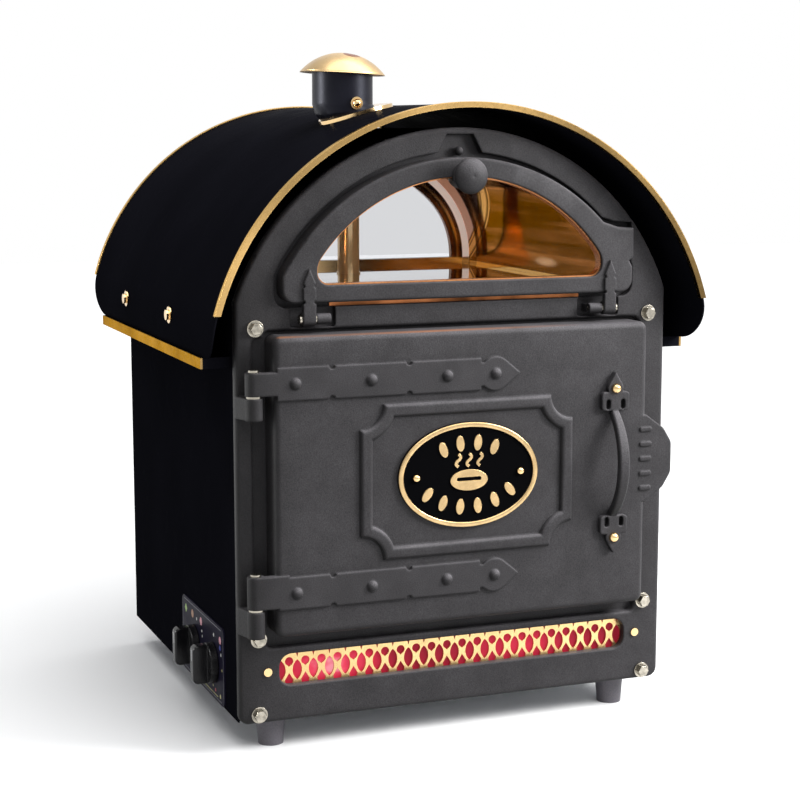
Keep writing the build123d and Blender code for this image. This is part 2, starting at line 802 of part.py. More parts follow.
for (name, housing_name), depth in zip(knob_names, knob_depths):
    knob_y = at(depth)
    back_x = plate_face_x - knob_gap
    skirt_x = back_x - skirt_height
    tip_x = skirt_x - grip_height
    spindle_x = (-inner_half + 24.0, tip_x + 6.0)
    with BuildPart() as knob:
        with BuildSketch(front_plane(depth + grip_width / 2)):
            with Locations((skirt_x + 1, knob_z)):
                RectangleRounded(2 * grip_height + 2, grip_length, grip_corner)
                to_right = (Align.MIN, Align.CENTER)
                Rectangle(2 * grip_height, grip_length + 1, align=to_right, mode=Mode.SUBTRACT)
        extrude(amount=grip_width)
        sides = knob.faces().filter_by(Axis.Y)
        fillet([edge for edge in sides.edges() if edge.center().X < skirt_x], 1.8)
        with BuildSketch(side_plane(back_x)):
            with Locations((knob_y, knob_z)):
                Circle(knob_radius)
        extrude(amount=-skirt_height, taper=4)
        ends = [(x, knob_y, knob_z) for x in (back_x + 1, spindle_x[1])]
        rod(*ends, spindle_radius + 0.02, Mode.SUBTRACT)
    save(knob, f"{name}_knob")
    with BuildPart() as spindle:
        rod((spindle_x[0], knob_y, knob_z), (spindle_x[1] + 0.3, knob_y, knob_z), spindle_radius)
    save(spindle, f"{name}_spindle")
    with BuildPart() as housing:
        block(
            (-inner_half + hair, -inner_half + 28),
            (knob_y - housing_half, knob_y + housing_half),
            (knob_z - housing_half, knob_z + housing_half),
        )
        rod(
            (-inner_half - 1, knob_y, knob_z),
            (spindle_x[0] + 0.5, knob_y, knob_z),
            spindle_radius + pin_fit,
            Mode.SUBTRACT,
        )
        for rise in (-9, 9):
            tab_x = (-inner_half + 27.5, -inner_half + 34)
            block(tab_x, (knob_y - 3, knob_y + 3), (knob_z + rise - 0.5, knob_z + rise + 0.5))
    save(housing, housing_name)

# ========================================================================= canopy
canopy_radius = arch_radius + canopy_gap
turn = math.radians(canopy_turn)
side_centre_x = (canopy_radius - canopy_side_radius) * math.cos(turn)
side_centre_z = arch_z + (canopy_radius - canopy_side_radius) * math.sin(turn)
canopy_low_z = rail_low_z + sheet + hair
canopy_half = side_centre_x + canopy_side_radius
trim_end_z = rail_top_z + hair + canopy_corner
rail_inner_x = body_half + hair
rail_back = body_back + rail_overhang
canopy_length = canopy_back + canopy_front


def canopy_x(z, outset=0.0):
    """Half width of the canopy's outer face at a height, on its side curve."""
    return side_centre_x + math.sqrt((canopy_side_radius + outset) ** 2 - (z - side_centre_z) ** 2)


def canopy_line(outset):
    """Three arcs along the canopy's outer face, right to left, moved outwards."""
    crown = canopy_radius + outset
    curve = canopy_side_radius + outset
    low = math.asin((canopy_low_z - 4 - side_centre_z) / curve)
    middle = (low + turn) / 2
    for side in (1, -1):
        ThreePointArc(
            (side * (side_centre_x + curve * math.cos(low)), side_centre_z + curve * math.sin(low)),
            (side * (side_centre_x + curve * math.cos(middle)), side_centre_z + curve * math.sin(middle)),
            (side * crown * math.cos(turn), arch_z + crown * math.sin(turn)),
        )
    ThreePointArc(
        (crown * math.cos(turn), arch_z + crown * math.sin(turn)),
        (0, arch_z + crown),
        (-crown * math.cos(turn), arch_z + crown * math.sin(turn)),
    )


def canopy_band(plane, inside, outside, low_z):
    """Cross-section between two lines along the canopy, cut off at a height."""
    with BuildSketch(plane) as band:
        with BuildLine():
            canopy_line(outside)
            canopy_line(inside)
            low = canopy_low_z - 4
            for side in (-1, 1):
                Line((side * canopy_x(low, inside), low), (side * canopy_x(low, outside), low))
        make_face()
        with Locations((0, low_z + canopy_radius)):
            Rectangle(3 * canopy_radius, 2 * canopy_radius, mode=Mode.INTERSECT)
    return band.sketch


# The chimney's foot stands square on the sloping canopy; its tube bends upright.
boot_radius = chimney_radius + 1.0
boot_x = chimney_x + 13.5
boot_y = at(chimney_depth)
boot_slope = math.asin(boot_x / canopy_radius)
boot_z = arch_z + canopy_radius * math.cos(boot_slope)
bend_x = chimney_x + 3.5
bend_z = boot_z + 1.5
tube_base_z = boot_z + 8.0
cap_base_z = tube_base_z + chimney_height
lean = math.radians(cap_tilt)
lean_axis = (math.sin(lean), 0, math.cos(lean))
boot_axis = (math.sin(boot_slope), 0, math.cos(boot_slope))
bend_axis = (math.sin(boot_slope / 2), 0, math.cos(boot_slope / 2))
boot_plane = Plane(origin=(boot_x, boot_y, boot_z), x_dir=(0, 1, 0), z_dir=boot_axis)
bend_plane = Plane(origin=(bend_x, boot_y, bend_z), x_dir=(0, 1, 0), z_dir=bend_axis)
tube_plane = Plane(origin=(chimney_x, boot_y, tube_base_z), x_dir=(0, 1, 0))
cap_plane = Plane(origin=(chimney_x, boot_y, cap_base_z), x_dir=(0, 1, 0), z_dir=lean_axis)
cap_side = Plane(origin=cap_plane.origin, x_dir=(math.cos(lean), 0, -math.sin(lean)), z_dir=(0, -1, 0))


def flue(change, mode=Mode.ADD):
    """Chimney's foot and tube, with the radius changed by a distance."""
    rings = []
    for plane, radius in (
        (boot_plane.offset(-6.0 + change), boot_radius),
        (bend_plane, (boot_radius + chimney_radius) / 2),
        (tube_plane, chimney_radius),
        (cap_plane.offset(-hair - change / 10), chimney_radius),
    ):
        with BuildSketch(plane) as ring:
            Circle(radius + change)
        rings.append(ring.sketch)
    loft(rings, ruled=True, mode=mode)


def canopy_drum(outset, mode=Mode.SUBTRACT):
    """Round top of the canopy as a solid drum, to fit pieces on it."""
    rod((0, at(-canopy_front), arch_z), (0, at(canopy_back), arch_z), canopy_radius + outset, mode)


def dome_line(radius, height):
    """Half the outline of a shallow dome, from its rim up to its middle."""
    curve = (radius**2 + height**2) / (2 * height)
    half_turn = math.asin(radius / curve) / 2
    middle = (curve * math.sin(half_turn), height - curve + curve * math.cos(half_turn))
    ThreePointArc((radius, 0), middle, (0, height))


chimney_screw_x = chimney_x + 3.5
chimney_screw_z = boot_z + 9.0
chimney_screw_radius = 1.5

with BuildPart() as chimney:
    flue(0)
    flue(-sheet, Mode.SUBTRACT)
    canopy_drum(hair)
    ends = [(chimney_screw_x, boot_y - reach, chimney_screw_z) for reach in (40, 0)]
    rod(*ends, chimney_screw_radius + 0.1, Mode.SUBTRACT)
save(chimney, "chimney")

with BuildPart() as chimney_screw:
    seat_y = boot_y - boot_radius + 0.3
    with Locations((chimney_screw_x, seat_y - 1.4, chimney_screw_z)):
        Sphere(4.4)
        with Locations((0, 10, 0)):
            Box(20, 20, 20, mode=Mode.SUBTRACT)
    for radius, near, far in ((6.0, -1.4, 0.0), (chimney_screw_radius, -2.0, 6.0)):
        ends = [(chimney_screw_x, seat_y + reach, chimney_screw_z) for reach in (near, far)]
        rod(*ends, radius)
save(chimney_screw, "chimney_screw")

ring_radius = boot_radius + 6.4
ring_height = 3.4

with BuildPart() as chimney_ring:
    with Locations(boot_plane.offset(-10.0)):
        Cylinder(ring_radius, 20.0, align=(Align.CENTER, Align.CENTER, Align.MIN))
    canopy_drum(ring_height, Mode.INTERSECT)
    flue(hair, Mode.SUBTRACT)
    canopy_drum(hair)
save(chimney_ring, "chimney_ring")

cap_wall = 1.8
spigot_depth = 6.0
dimple_x = 9.0
dimple_depth = 2.2
dimple_curve = 20.0

with BuildPart() as chimney_cap:
    with BuildSketch(cap_side):
        with BuildLine():
            dome_line(cap_radius, cap_height)
            dome_line(cap_radius - cap_wall, cap_height - 2 * cap_wall)
            Line((cap_radius, 0), (cap_radius - cap_wall, 0))
            Line((0, cap_height), (0, cap_height - 2 * cap_wall))
        make_face()
        spigot = chimney_radius - sheet - 0.7
        with Locations(((cap_radius - cap_wall / 2 + spigot - 2) / 2, 0.75)):
            Rectangle(cap_radius - cap_wall / 2 - spigot + 2, 1.5)
        with Locations((spigot - 1, (1.5 - spigot_depth) / 2)):
            Rectangle(2, spigot_depth + 1.5)
    revolve(axis=Axis(cap_side.origin, lean_axis))
    with Locations(cap_side):
        with Locations((dimple_x, cap_height - dimple_depth + dimple_curve, 3.0)):
            Sphere(dimple_curve, mode=Mode.SUBTRACT)
save(chimney_cap, "chimney_cap")

with BuildPart() as canopy:
    extrude(canopy_band(front_plane(-canopy_front), -sheet, 0, canopy_low_z), amount=-canopy_length)
    corner_z = rail_top_z + hair
    with BuildSketch(side_plane(-2 * canopy_radius)):
        middle_y = at((canopy_back - canopy_front) / 2)
        with Locations((middle_y, corner_z + canopy_radius)):
            RectangleRounded(canopy_length, 2 * canopy_radius, canopy_corner)
        tab_y = at((rail_front + rail_back) / 2)
        with Locations((tab_y, corner_z)):
            Rectangle(rail_back - rail_front - 2 * sheet - 2 * hair, 2 * rail_height)
    extrude(amount=4 * canopy_radius, mode=Mode.INTERSECT)
    with Locations(boot_plane.offset(-10)):
        Cylinder(boot_radius - 4, 20, align=(Align.CENTER, Align.CENTER, Align.MIN), mode=Mode.SUBTRACT)
    for side in (-1, 1):
        for depth in screw_depths:
            ends = [(side * (canopy_half + reach), at(depth), canopy_screw_z) for reach in (-10, 1)]
            rod(*ends, canopy_screw_radius + 0.1, Mode.SUBTRACT)
save(canopy, "canopy")

for name, depth, way in (
    ("canopy_trim_front", -canopy_front - trim_wall, -1),
    ("canopy_trim_rear", canopy_back + trim_wall, 1),
):
    with BuildPart() as trim:
        outside = trim_wall + hair
        inside = outside - trim_width
        extrude(canopy_band(front_plane(depth), inside, outside, trim_end_z), amount=way * trim_depth)
        slot_plane = front_plane(depth - way * (trim_wall - hair))
        extrude(
            canopy_band(slot_plane, -sheet - hair, hair, trim_end_z - 5),
            amount=way * trim_depth,
            mode=Mode.SUBTRACT,
        )
    save(trim, name)

for side, name in ((-1, "canopy_rail_left"), (1, "canopy_rail_right")):
    with BuildPart() as rail:
        outer_x = canopy_half + hair
        rail_y = (at(rail_front), at(rail_back))
        block(sorted((side * rail_inner_x, side * outer_x)), rail_y, (rail_low_z, rail_top_z))
        inside_x = sorted((side * (rail_inner_x + sheet), side * (outer_x - sheet)))
        inside_y = (at(rail_front + sheet), at(rail_back - sheet))
        block(inside_x, inside_y, (rail_low_z + sheet, rail_top_z + 1), Mode.SUBTRACT)
    save(rail, name)

spacer_x = canopy_x(canopy_screw_z + 6, -sheet) - hair
with BuildPart() as canopy_spacers:
    for side in (-1, 1):
        for depth in screw_depths:
            ends = [(side * x, at(depth), canopy_screw_z) for x in (body_half + hair, spacer_x)]
            rod(*ends, 6.0)
            rod(*ends, canopy_screw_radius + 0.1, Mode.SUBTRACT)
save(canopy_spacers, "canopy_spacers")

with BuildPart() as canopy_screws:
    for side in (-1, 1):
        for depth in screw_depths:
            seat_x = canopy_half + hair
            seat = (side * seat_x, at(depth), canopy_screw_z)
            rod(seat, (side * (seat_x + 1.2), at(depth), canopy_screw_z), 8.0)
            rod(seat, (side * (seat_x + 4.0), at(depth), canopy_screw_z), 5.0)
            rod(seat, (side * (body_half - 8), at(depth), canopy_screw_z), canopy_screw_radius)
save(canopy_screws, "canopy_screws")

# ====================================================================== oven door
badge_half = (71.0, 50.0)
badge_z = door_centre_z + 2.0
badge_base = 2.2
badge_relief = 1.2
badge_rim = 5.0
badge_rim_relief = 2.0
badge_screw_x = 53.0
badge_screw_radius = 1.8
cartouche_half = (108.0, 73.0)
cartouche_corner = 23.0
cartouche_band = 12.0
cartouche_height = 4.6
strap_z = (door_base_z + 42.0, door_top_z - 42.5)
strap_notches = (-door_half + 54.0, -door_half + 129.0)
strap_neck_x = -door_half + 201.0
strap_rivets = [-door_half + step for step in (19.0, 92.0, 167.0, 216.0)]
strap_point = 25.0  # last rivet to the point of the strap
strap_lobe = 16.0
rivet_radius = 5.5
handle_x = door_half - handle_inset
handle_z = door_centre_z + 3.2
handle_nut_rise = 73.0
handle_plate_rise = 60.6
handle_stud_radius = 2.5
tab_z = door_centre_z + 4.5
tab_reach = 27.5
tab_ribs = 5
tab_rib_pitch = 14.5
liner_depth = 3.0
pocket_half = door_half - door_wall
pocket_front = door_front - door_wall
liner_boss = (door_half - 29.0, door_height / 2 - 30.0)


def strap_outline(z):
    """Outline of a strap hinge on the door, ending in a round lobe with a point."""
    lobe_x = strap_rivets[-1]
    touch = math.acos(strap_lobe / strap_point)
    touch_x = lobe_x + strap_lobe * math.cos(touch)
    touch_z = strap_lobe * math.sin(touch)
    with BuildSketch(Plane.XY) as strap:
        with Locations((-door_half + 2, z)):
            Rectangle(strap_neck_x + door_half - 2, 2 * strap_half, align=(Align.MIN, Align.CENTER))
        with Locations((strap_neck_x - 1, z)):
            Rectangle(lobe_x - strap_neck_x, 2 * strap_half - 8, align=(Align.MIN, Align.CENTER))
        with Locations((lobe_x, z)):
            Circle(strap_lobe)
        Polygon((touch_x, z - touch_z), (lobe_x + strap_point, z), (touch_x, z + touch_z), align=None)
        with Locations([(x, z + side * strap_half) for x in strap_notches for side in (-1, 1)]):
            Circle(3.0, mode=Mode.SUBTRACT)
    return strap.sketch


with BuildPart() as oven_door:
    door_face = rounded_box(
        front_plane(door_back), -door_half, door_half, door_base_z, door_top_z, door_corner
    )
    extrude(door_face, amount=door_back + door_front)
    fillet(oven_door.faces().sort_by(Axis.Y)[0].edges(), door_edge)
    pocket_z = (door_base_z + door_wall, door_top_z - door_wall)
    pocket_face = rounded_box(front_plane(door_back), -pocket_half, pocket_half, *pocket_z, 3.0)
    extrude(pocket_face, amount=door_back + pocket_front, mode=Mode.SUBTRACT)
    for x in (-liner_boss[0], liner_boss[0]):
        for z in (door_centre_z - liner_boss[1], door_centre_z + liner_boss[1]):
            rod((x, at(-pocket_front - 1), z), (x, at(liner_depth - hair), z), 6.0)
    # Finger tab at the right, with plain ribs.
    with BuildSketch(front_plane(-10)):
        with BuildLine():
            Polyline(
                (door_half - door_edge, tab_z - 43),
                (door_half, tab_z - 43),
                (door_half + 19, tab_z - 29),
                (door_half + tab_reach, tab_z - 15),
                (door_half + tab_reach, tab_z + 15),
                (door_half + 19, tab_z + 29),
                (door_half, tab_z + 43),
                (door_half - door_edge, tab_z + 43),
                close=True,
            )
        tab_face = make_face()
        fillet(tab_face.vertices().sort_by(Axis.X)[-4:], 11.0)
    extrude(amount=door_front - 10)
    with BuildSketch(front_plane(-door_front + 0.5)):
        rib_steps = [(step - (tab_ribs - 1) / 2) * tab_rib_pitch for step in range(tab_ribs)]
        with Locations([(door_half - 1, tab_z + step) for step in rib_steps]):
            SlotOverall(13, 4.5)
    extrude(amount=2.0)
    # Moulded panel with hollow corners round the badge.
    with BuildSketch(front_plane(-door_front + 1)):
        corners = [(x * cartouche_half[0], z * cartouche_half[1]) for x in (-1, 1) for z in (-1, 1)]
        with Locations((0, door_centre_z)):
            Rectangle(2 * cartouche_half[0], 2 * cartouche_half[1])
            with Locations(corners):
                Circle(cartouche_corner, mode=Mode.SUBTRACT)
        with BuildSketch(Plane.XY, mode=Mode.SUBTRACT):
            panel_half = [half - cartouche_band for half in cartouche_half]
            with Locations((0, door_centre_z)):
                Rectangle(2 * panel_half[0], 2 * panel_half[1])
                with Locations(corners):
                    Circle(cartouche_corner + cartouche_band, mode=Mode.SUBTRACT)
    extrude(amount=cartouche_height + 1)
    crest = oven_door.faces().filter_by(Plane.XZ).sort_by(Axis.Y)[0]
    fillet(crest.edges(), 3.6)
    # Straps and their rivets.
    for z in strap_z:
        with BuildSketch(front_plane(-door_front + 1)):
            add(strap_outline(z))
        extrude(amount=strap_relief + 1)
        for x in strap_rivets:
            with Locations((x, at(-door_front - strap_relief + 1.0), z)):
                Sphere(rivet_radius)
    # Knuckles and the arms that carry them.
    for rise, length in zip(knuckle_rises, knuckle_lengths):
        low_z = door_base_z + rise
        arm_y = (at(-hinge_front - hinge_radius), at(-hinge_front))
        block((hinge_x, -door_half + 12), arm_y, (low_z, low_z + length))
        rod((hinge_x, at(-hinge_front), low_z), (hinge_x, at(-hinge_front), low_z + length), hinge_radius)
        ends = [(hinge_x, at(-hinge_front), z) for z in (low_z - 1, low_z + length + 1)]
        rod(*ends, hinge_pin_radius + pin_fit, Mode.SUBTRACT)
    # Holes for the handle's studs and the badge's screws.
    for side in (-1, 1):
        stud_z = handle_z + side * handle_nut_rise
        ends = [(handle_x, at(depth), stud_z) for depth in (-door_front - 1, -1)]
        rod(*ends, handle_stud_radius + 0.1, Mode.SUBTRACT)
        ends = [(side * badge_screw_x, at(depth), badge_z) for depth in (-door_front - 1, -1)]
        rod(*ends, badge_screw_radius + 0.1, Mode.SUBTRACT)
save(oven_door, "oven_door")

with BuildPart() as door_liner:
    liner_half = pocket_half - 0.3
    liner_z = (door_base_z + door_wall + 0.3, door_top_z - door_wall - 0.3)
    extrude(
        rounded_box(front_plane(liner_depth + liner_sheet), -liner_half, liner_half, *liner_z, 3.0),
        amount=liner_sheet,
    )
save(door_liner, "door_liner")

gasket_depth = casting_rim - 0.3
gasket_lap = 0.5  # gasket inside the door's pocket

with BuildPart() as door_gasket:
    outer_half = door_half - 1
    hole_half = pocket_half + gasket_lap
    outer_z = (door_base_z + 1, door_top_z - 1)
    hole_z = (door_base_z + door_wall - gasket_lap, door_top_z - door_wall + gasket_lap)
    with BuildSketch(front_plane(door_back + hair)):
        add(rounded_box(Plane.XY, -outer_half, outer_half, *outer_z, door_corner - 1))
        add(rounded_box(Plane.XY, -hole_half, hole_half, *hole_z, 2.5), mode=Mode.SUBTRACT)
    extrude(amount=-(gasket_depth - door_back - hair))
save(door_gasket, "door_gasket")

# Plain motif of the badge: petals above and below, a halved round and three wisps.
petal_half = (4.0, 7.5)
petal_spots = [
    (side * x, z, side * tilt)
    for side in (-1, 1)
    for x, z, tilt in ((9, 30, -6), (26, 25, -20), (9, -30, 6), (26.5, -25.5, 20), (42, -16.5, 38))
]

with BuildPart() as badge:
    badge_plane = front_plane(-door_front - hair)
    with BuildSketch(badge_plane):
        with Locations((0, badge_z)):
            Ellipse(*badge_half)
    extrude(amount=badge_base)
    with BuildSketch(badge_plane):
        with Locations((0, badge_z)):
            Ellipse(*badge_half)
            Ellipse(*[half - badge_rim for half in badge_half], mode=Mode.SUBTRACT)
    extrude(amount=badge_base + badge_rim_relief)
    fillet(badge.faces().filter_by(Plane.XZ).sort_by(Axis.Y)[0].edges(), 1.4)
    with BuildSketch(badge_plane):
        with Locations((0, badge_z - 5)):
            Ellipse(19.0, 10.0)
            with Locations((0, 1)):
                SlotOverall(25, 3.6, mode=Mode.SUBTRACT)
        for x, z, tilt in petal_spots:
            with Locations((x, badge_z + z)):
                Ellipse(*petal_half, rotation=tilt)
        for x in (-11.0, 0.0, 11.0):
            wisp_z = badge_z + 14
            with BuildLine():
                wisp = Spline((x, wisp_z - 6), (x - 2, wisp_z - 2), (x + 2, wisp_z + 2), (x, wisp_z + 6))
            trace(wisp, line_width=2.8)
    extrude(amount=badge_base + badge_relief)
    for side in (-1, 1):
        ends = [(side * badge_screw_x, at(depth), badge_z) for depth in (-door_front - 9, -door_front + 1)]
        rod(*ends, badge_screw_radius + 0.1, Mode.SUBTRACT)
save(badge, "badge")

with BuildPart() as badge_screws:
    for side in (-1, 1):
        seat_y = at(-door_front - badge_base - 2 * hair)
        screw_ends = [(side * badge_screw_x, y, badge_z) for y in (seat_y - 1, at(-pocket_front + 3))]
        with Locations((side * badge_screw_x, seat_y, badge_z)):
            Sphere(4.0)
            with Locations((0, 10, 0)):
                Box(20, 20, 20, mode=Mode.SUBTRACT)
        rod(*screw_ends, badge_screw_radius)
save(badge_screws, "badge_screws")

grip_half = 5.5
grip_thickness = 7.5
grip_end = handle_plate_rise - 4.0
grip_foot = 11.0  # length of the grip's foot on its plate
plate_height = 6.0
handle_slot = (7.8, -3.0)  # slots in the plates, from their middle and towards the grip

with BuildPart() as door_handle:
    front = at(-door_front - handle_stand)
    foot = at(-door_front - hair)
    with BuildSketch(side_plane(handle_x)):
        with BuildLine():
            for crest_y, end in ((front, grip_end), (front + grip_thickness, grip_end - grip_foot)):
                ThreePointArc((foot, handle_z - end), (crest_y, handle_z), (foot, handle_z + end))
            for side in (-1, 1):
                Line((foot, handle_z + side * grip_end), (foot, handle_z + side * (grip_end - grip_foot)))
        make_face()
    extrude(amount=grip_half, both=True)
    # The grip swells from its ends to its middle.
    with BuildSketch(Plane.XZ.offset(-foot)):
        with BuildLine():
            for side in (-1, 1):
                ThreePointArc(
                    (handle_x + side * 3.6, handle_z - grip_end),
                    (handle_x + side * grip_half, handle_z),
                    (handle_x + side * 3.6, handle_z + grip_end),
                )
                end_z = handle_z + side * grip_end
                Line((handle_x - 3.6, end_z), (handle_x + 3.6, end_z))
        make_face()
    extrude(amount=handle_stand + 1, mode=Mode.INTERSECT)
    fillet(door_handle.edges().filter_by(GeomType.CIRCLE, reverse=True), 2.2)
    for side in (-1, 1):
        plate_middle_z = handle_z + side * handle_plate_rise
        nut_z = handle_z + side * handle_nut_rise
        with BuildSketch(Plane.XZ.offset(-foot)):
            with Locations((handle_x, plate_middle_z)):
                RectangleRounded(29, 18, 3.5)
            with Locations((handle_x, nut_z)):
                Circle(8.0)
            Polygon(
                (handle_x - 7.0, nut_z + side * 4),
                (handle_x, nut_z + side * 15.5),
                (handle_x + 7.0, nut_z + side * 4),
                align=None,
            )
            slot_z = plate_middle_z + side * handle_slot[1]
            with Locations([(handle_x + way * handle_slot[0], slot_z) for way in (-1, 1)]):
                SlotOverall(10, 5, rotation=90, mode=Mode.SUBTRACT)
            with Locations((handle_x, nut_z)):
                Circle(handle_stud_radius + 0.1, mode=Mode.SUBTRACT)
        extrude(amount=plate_height)
save(door_handle, "door_handle")

with BuildPart() as handle_nuts:
    for side in (-1, 1):
        stud_z = handle_z + side * handle_nut_rise
        seat_y = at(-door_front - plate_height - 2 * hair)
        with Locations((handle_x, seat_y, stud_z)):
            Sphere(5.0)
            with Locations((0, 10, 0)):
                Box(20, 20, 20, mode=Mode.SUBTRACT)
        rod((handle_x, seat_y - 1, stud_z), (handle_x, at(-pocket_front + 5), stud_z), handle_stud_radius)
save(handle_nuts, "handle_nuts")

with BuildPart() as door_hinge_pins:
    for rise, length, low_z in zip(knuckle_rises, knuckle_lengths, lug_base_z):
        knuckle_z = door_base_z + rise
        pin_y = at(-hinge_front)
        rod((hinge_x, pin_y, low_z), (hinge_x, pin_y, knuckle_z + length + 1), hinge_pin_radius)
        rod(
            (hinge_x, pin_y, knuckle_z - washer_thickness - hair),
            (hinge_x, pin_y, knuckle_z - hair),
            hinge_radius - 1,
        )
        rod(
            (hinge_x, pin_y, knuckle_z + length + 0.4),
            (hinge_x, pin_y, knuckle_z + length + 2.4),
            hinge_pin_radius + 2,
        )
save(door_hinge_pins, "door_hinge_pins")

# ================================================================= display window
window_knuckle = (window_hinge_x - window_strap_half, window_hinge_x + window_strap_half)
rebate = 5.0
rebate_depth = 1.5
knob_stud_radius = 2.9

with BuildPart() as window_frame:
    extrude(window_outline(front_plane(window_back), 0), amount=window_back + window_front)
    front_edges = window_frame.faces().sort_by(Axis.Y)[0].edges()
    fillet(front_edges, 2.5)
    with Locations((0, at(-window_front - 1), window_knob_z)):
        boss_length = window_front + 1 + rebate_depth - hair
        Cylinder(
            boss_radius, boss_length, rotation=(-90, 0, 0), align=(Align.CENTER, Align.CENTER, Align.MIN)
        )
    with BuildSketch(front_plane(-window_front - 2)):
        add(glass_outline(Plane.XY, 0))
        with Locations((0, window_knob_z)):
            Circle(boss_radius, mode=Mode.SUBTRACT)
    extrude(amount=-(window_front + 2 + rebate_depth), mode=Mode.SUBTRACT)
    glass_seat = glass_outline(front_plane(window_back), rebate)
    extrude(glass_seat, amount=window_back - rebate_depth, mode=Mode.SUBTRACT)
    for side in (-1, 1):
        # Straps down the frame to the knuckles.
        with BuildSketch(front_plane(-window_front + 3)):
            x = side * window_hinge_x
            top_z = window_axis_z + window_strap_height
            with BuildLine():
                Polyline(
                    (x - window_strap_half, window_axis_z),
                    (x + window_strap_half, window_axis_z),
                    (x + window_strap_half, top_z - 14),
                    (x, top_z),
                    (x - window_strap_half, top_z - 14),
                    close=True,
                )
            make_face()
            sides_x = (x - window_strap_half, x + window_strap_half)
            with Locations([(side_x, top_z - rise) for side_x in sides_x for rise in (15.5, 30.0)]):
                Circle(1.8, mode=Mode.SUBTRACT)
        extrude(amount=5.5)
        ends = [(end_x, at(-window_hinge_front), window_axis_z) for end_x in sides_x]
        rod(*ends, window_knuckle_radius)
        bore_x = (sides_x[0] - 1, sides_x[1] + 1)
        ends = [(end_x, at(-window_hinge_front), window_axis_z) for end_x in bore_x]
        rod(*ends, window_pin_radius + pin_fit, Mode.SUBTRACT)
    ends = [(0, at(depth), window_knob_z) for depth in (-window_front - 2, -1)]
    rod(*ends, knob_stud_radius + 0.1, Mode.SUBTRACT)
save(window_frame, "window_frame")

with BuildPart() as window_glass:
    glass_back = rebate_depth + hair + glass_thickness
    extrude(glass_outline(front_plane(glass_back), glass_lap), amount=glass_thickness)
save(window_glass, "window_glass")

with BuildPart() as window_bezel:
    with BuildSketch(front_plane(rebate_depth)):
        add(glass_outline(Plane.XY, -hair))
        add(glass_outline(Plane.XY, -hair - bezel_wall), mode=Mode.SUBTRACT)
        with Locations((0, window_knob_z)):
            Circle(boss_radius + hair, mode=Mode.SUBTRACT)
    extrude(amount=window_front - 3 + rebate_depth)
save(window_bezel, "window_bezel")

with BuildPart() as window_knob:
    with BuildSketch(side_plane(0)):
        with BuildLine():
            face = at(-window_front - 22)
            seat = at(-window_front - 1 - hair)
            Polyline(
                (at(-3), window_knob_z),
                (at(-3), window_knob_z + knob_stud_radius),
                (seat, window_knob_z + knob_stud_radius),
                (seat, window_knob_z + 6.5),
                (seat - 4, window_knob_z + 5),
                (at(-window_front - 9), window_knob_z + 6),
                (at(-window_front - 11), window_knob_z + 14),
            )
            Spline(
                (at(-window_front - 11), window_knob_z + 14),
                (at(-window_front - 15), window_knob_z + 16.5),
                (at(-window_front - 20), window_knob_z + 12),
                (face, window_knob_z),
            )
            Line((face, window_knob_z), (at(-3), window_knob_z))
        make_face()
    revolve(axis=Axis((0, 0, window_knob_z), (0, 1, 0)))
save(window_knob, "window_knob")

with BuildPart() as window_hinge_pins:
    for side in (-1, 1):
        for from_x, to_x, radius in (
            (window_lug[0], window_knuckle[1] + 2, window_pin_radius),
            (window_lug[1] + hair, window_knuckle[0] - 0.3, window_pin_radius + 2),
            (window_knuckle[1] + 0.3, window_knuckle[1] + 2.5, window_pin_radius + 2),
        ):
            ends = [(side * x, at(-window_hinge_front), window_axis_z) for x in (from_x, to_x)]
            rod(*ends, radius)
save(window_hinge_pins, "window_hinge_pins")

ball_radius = 4.2
ball_depth = 3.6

with BuildPart() as catch_ball:
    ball_z = window_top_z + 5.2
    with Locations((0, at(ball_depth), ball_z)):
        Sphere(ball_radius)
    rod((0, at(ball_depth), ball_z), (0, at(casting_rim - hair), ball_z), 2.5)
save(catch_ball, "catch_ball")
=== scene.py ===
import math

import bmesh
import bpy
from mathutils import Matrix, Vector


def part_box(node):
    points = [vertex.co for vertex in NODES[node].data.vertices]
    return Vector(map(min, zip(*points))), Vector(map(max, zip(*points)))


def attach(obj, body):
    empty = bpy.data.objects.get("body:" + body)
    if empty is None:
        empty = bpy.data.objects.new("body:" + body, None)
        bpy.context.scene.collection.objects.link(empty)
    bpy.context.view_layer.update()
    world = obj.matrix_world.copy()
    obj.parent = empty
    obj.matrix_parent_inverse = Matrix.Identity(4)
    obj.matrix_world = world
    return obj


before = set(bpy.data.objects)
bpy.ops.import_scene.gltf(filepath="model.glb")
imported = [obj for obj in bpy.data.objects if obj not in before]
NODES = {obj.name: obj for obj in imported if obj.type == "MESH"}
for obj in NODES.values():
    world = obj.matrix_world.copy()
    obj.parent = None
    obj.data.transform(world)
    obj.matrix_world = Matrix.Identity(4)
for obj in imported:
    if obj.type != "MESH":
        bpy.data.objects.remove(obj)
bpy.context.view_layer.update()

bl_info = {
    "name": "Potato oven finishes",
    "version": (1, 0, 0),
    "blender": (4, 5, 0),
    "location": "3D View > Sidebar > Oven",
    "description": "Dresses a baked potato oven: cast iron, gloss sheet, brass, glass, grille and controls",
    "category": "Object",
}

MM = 0.001


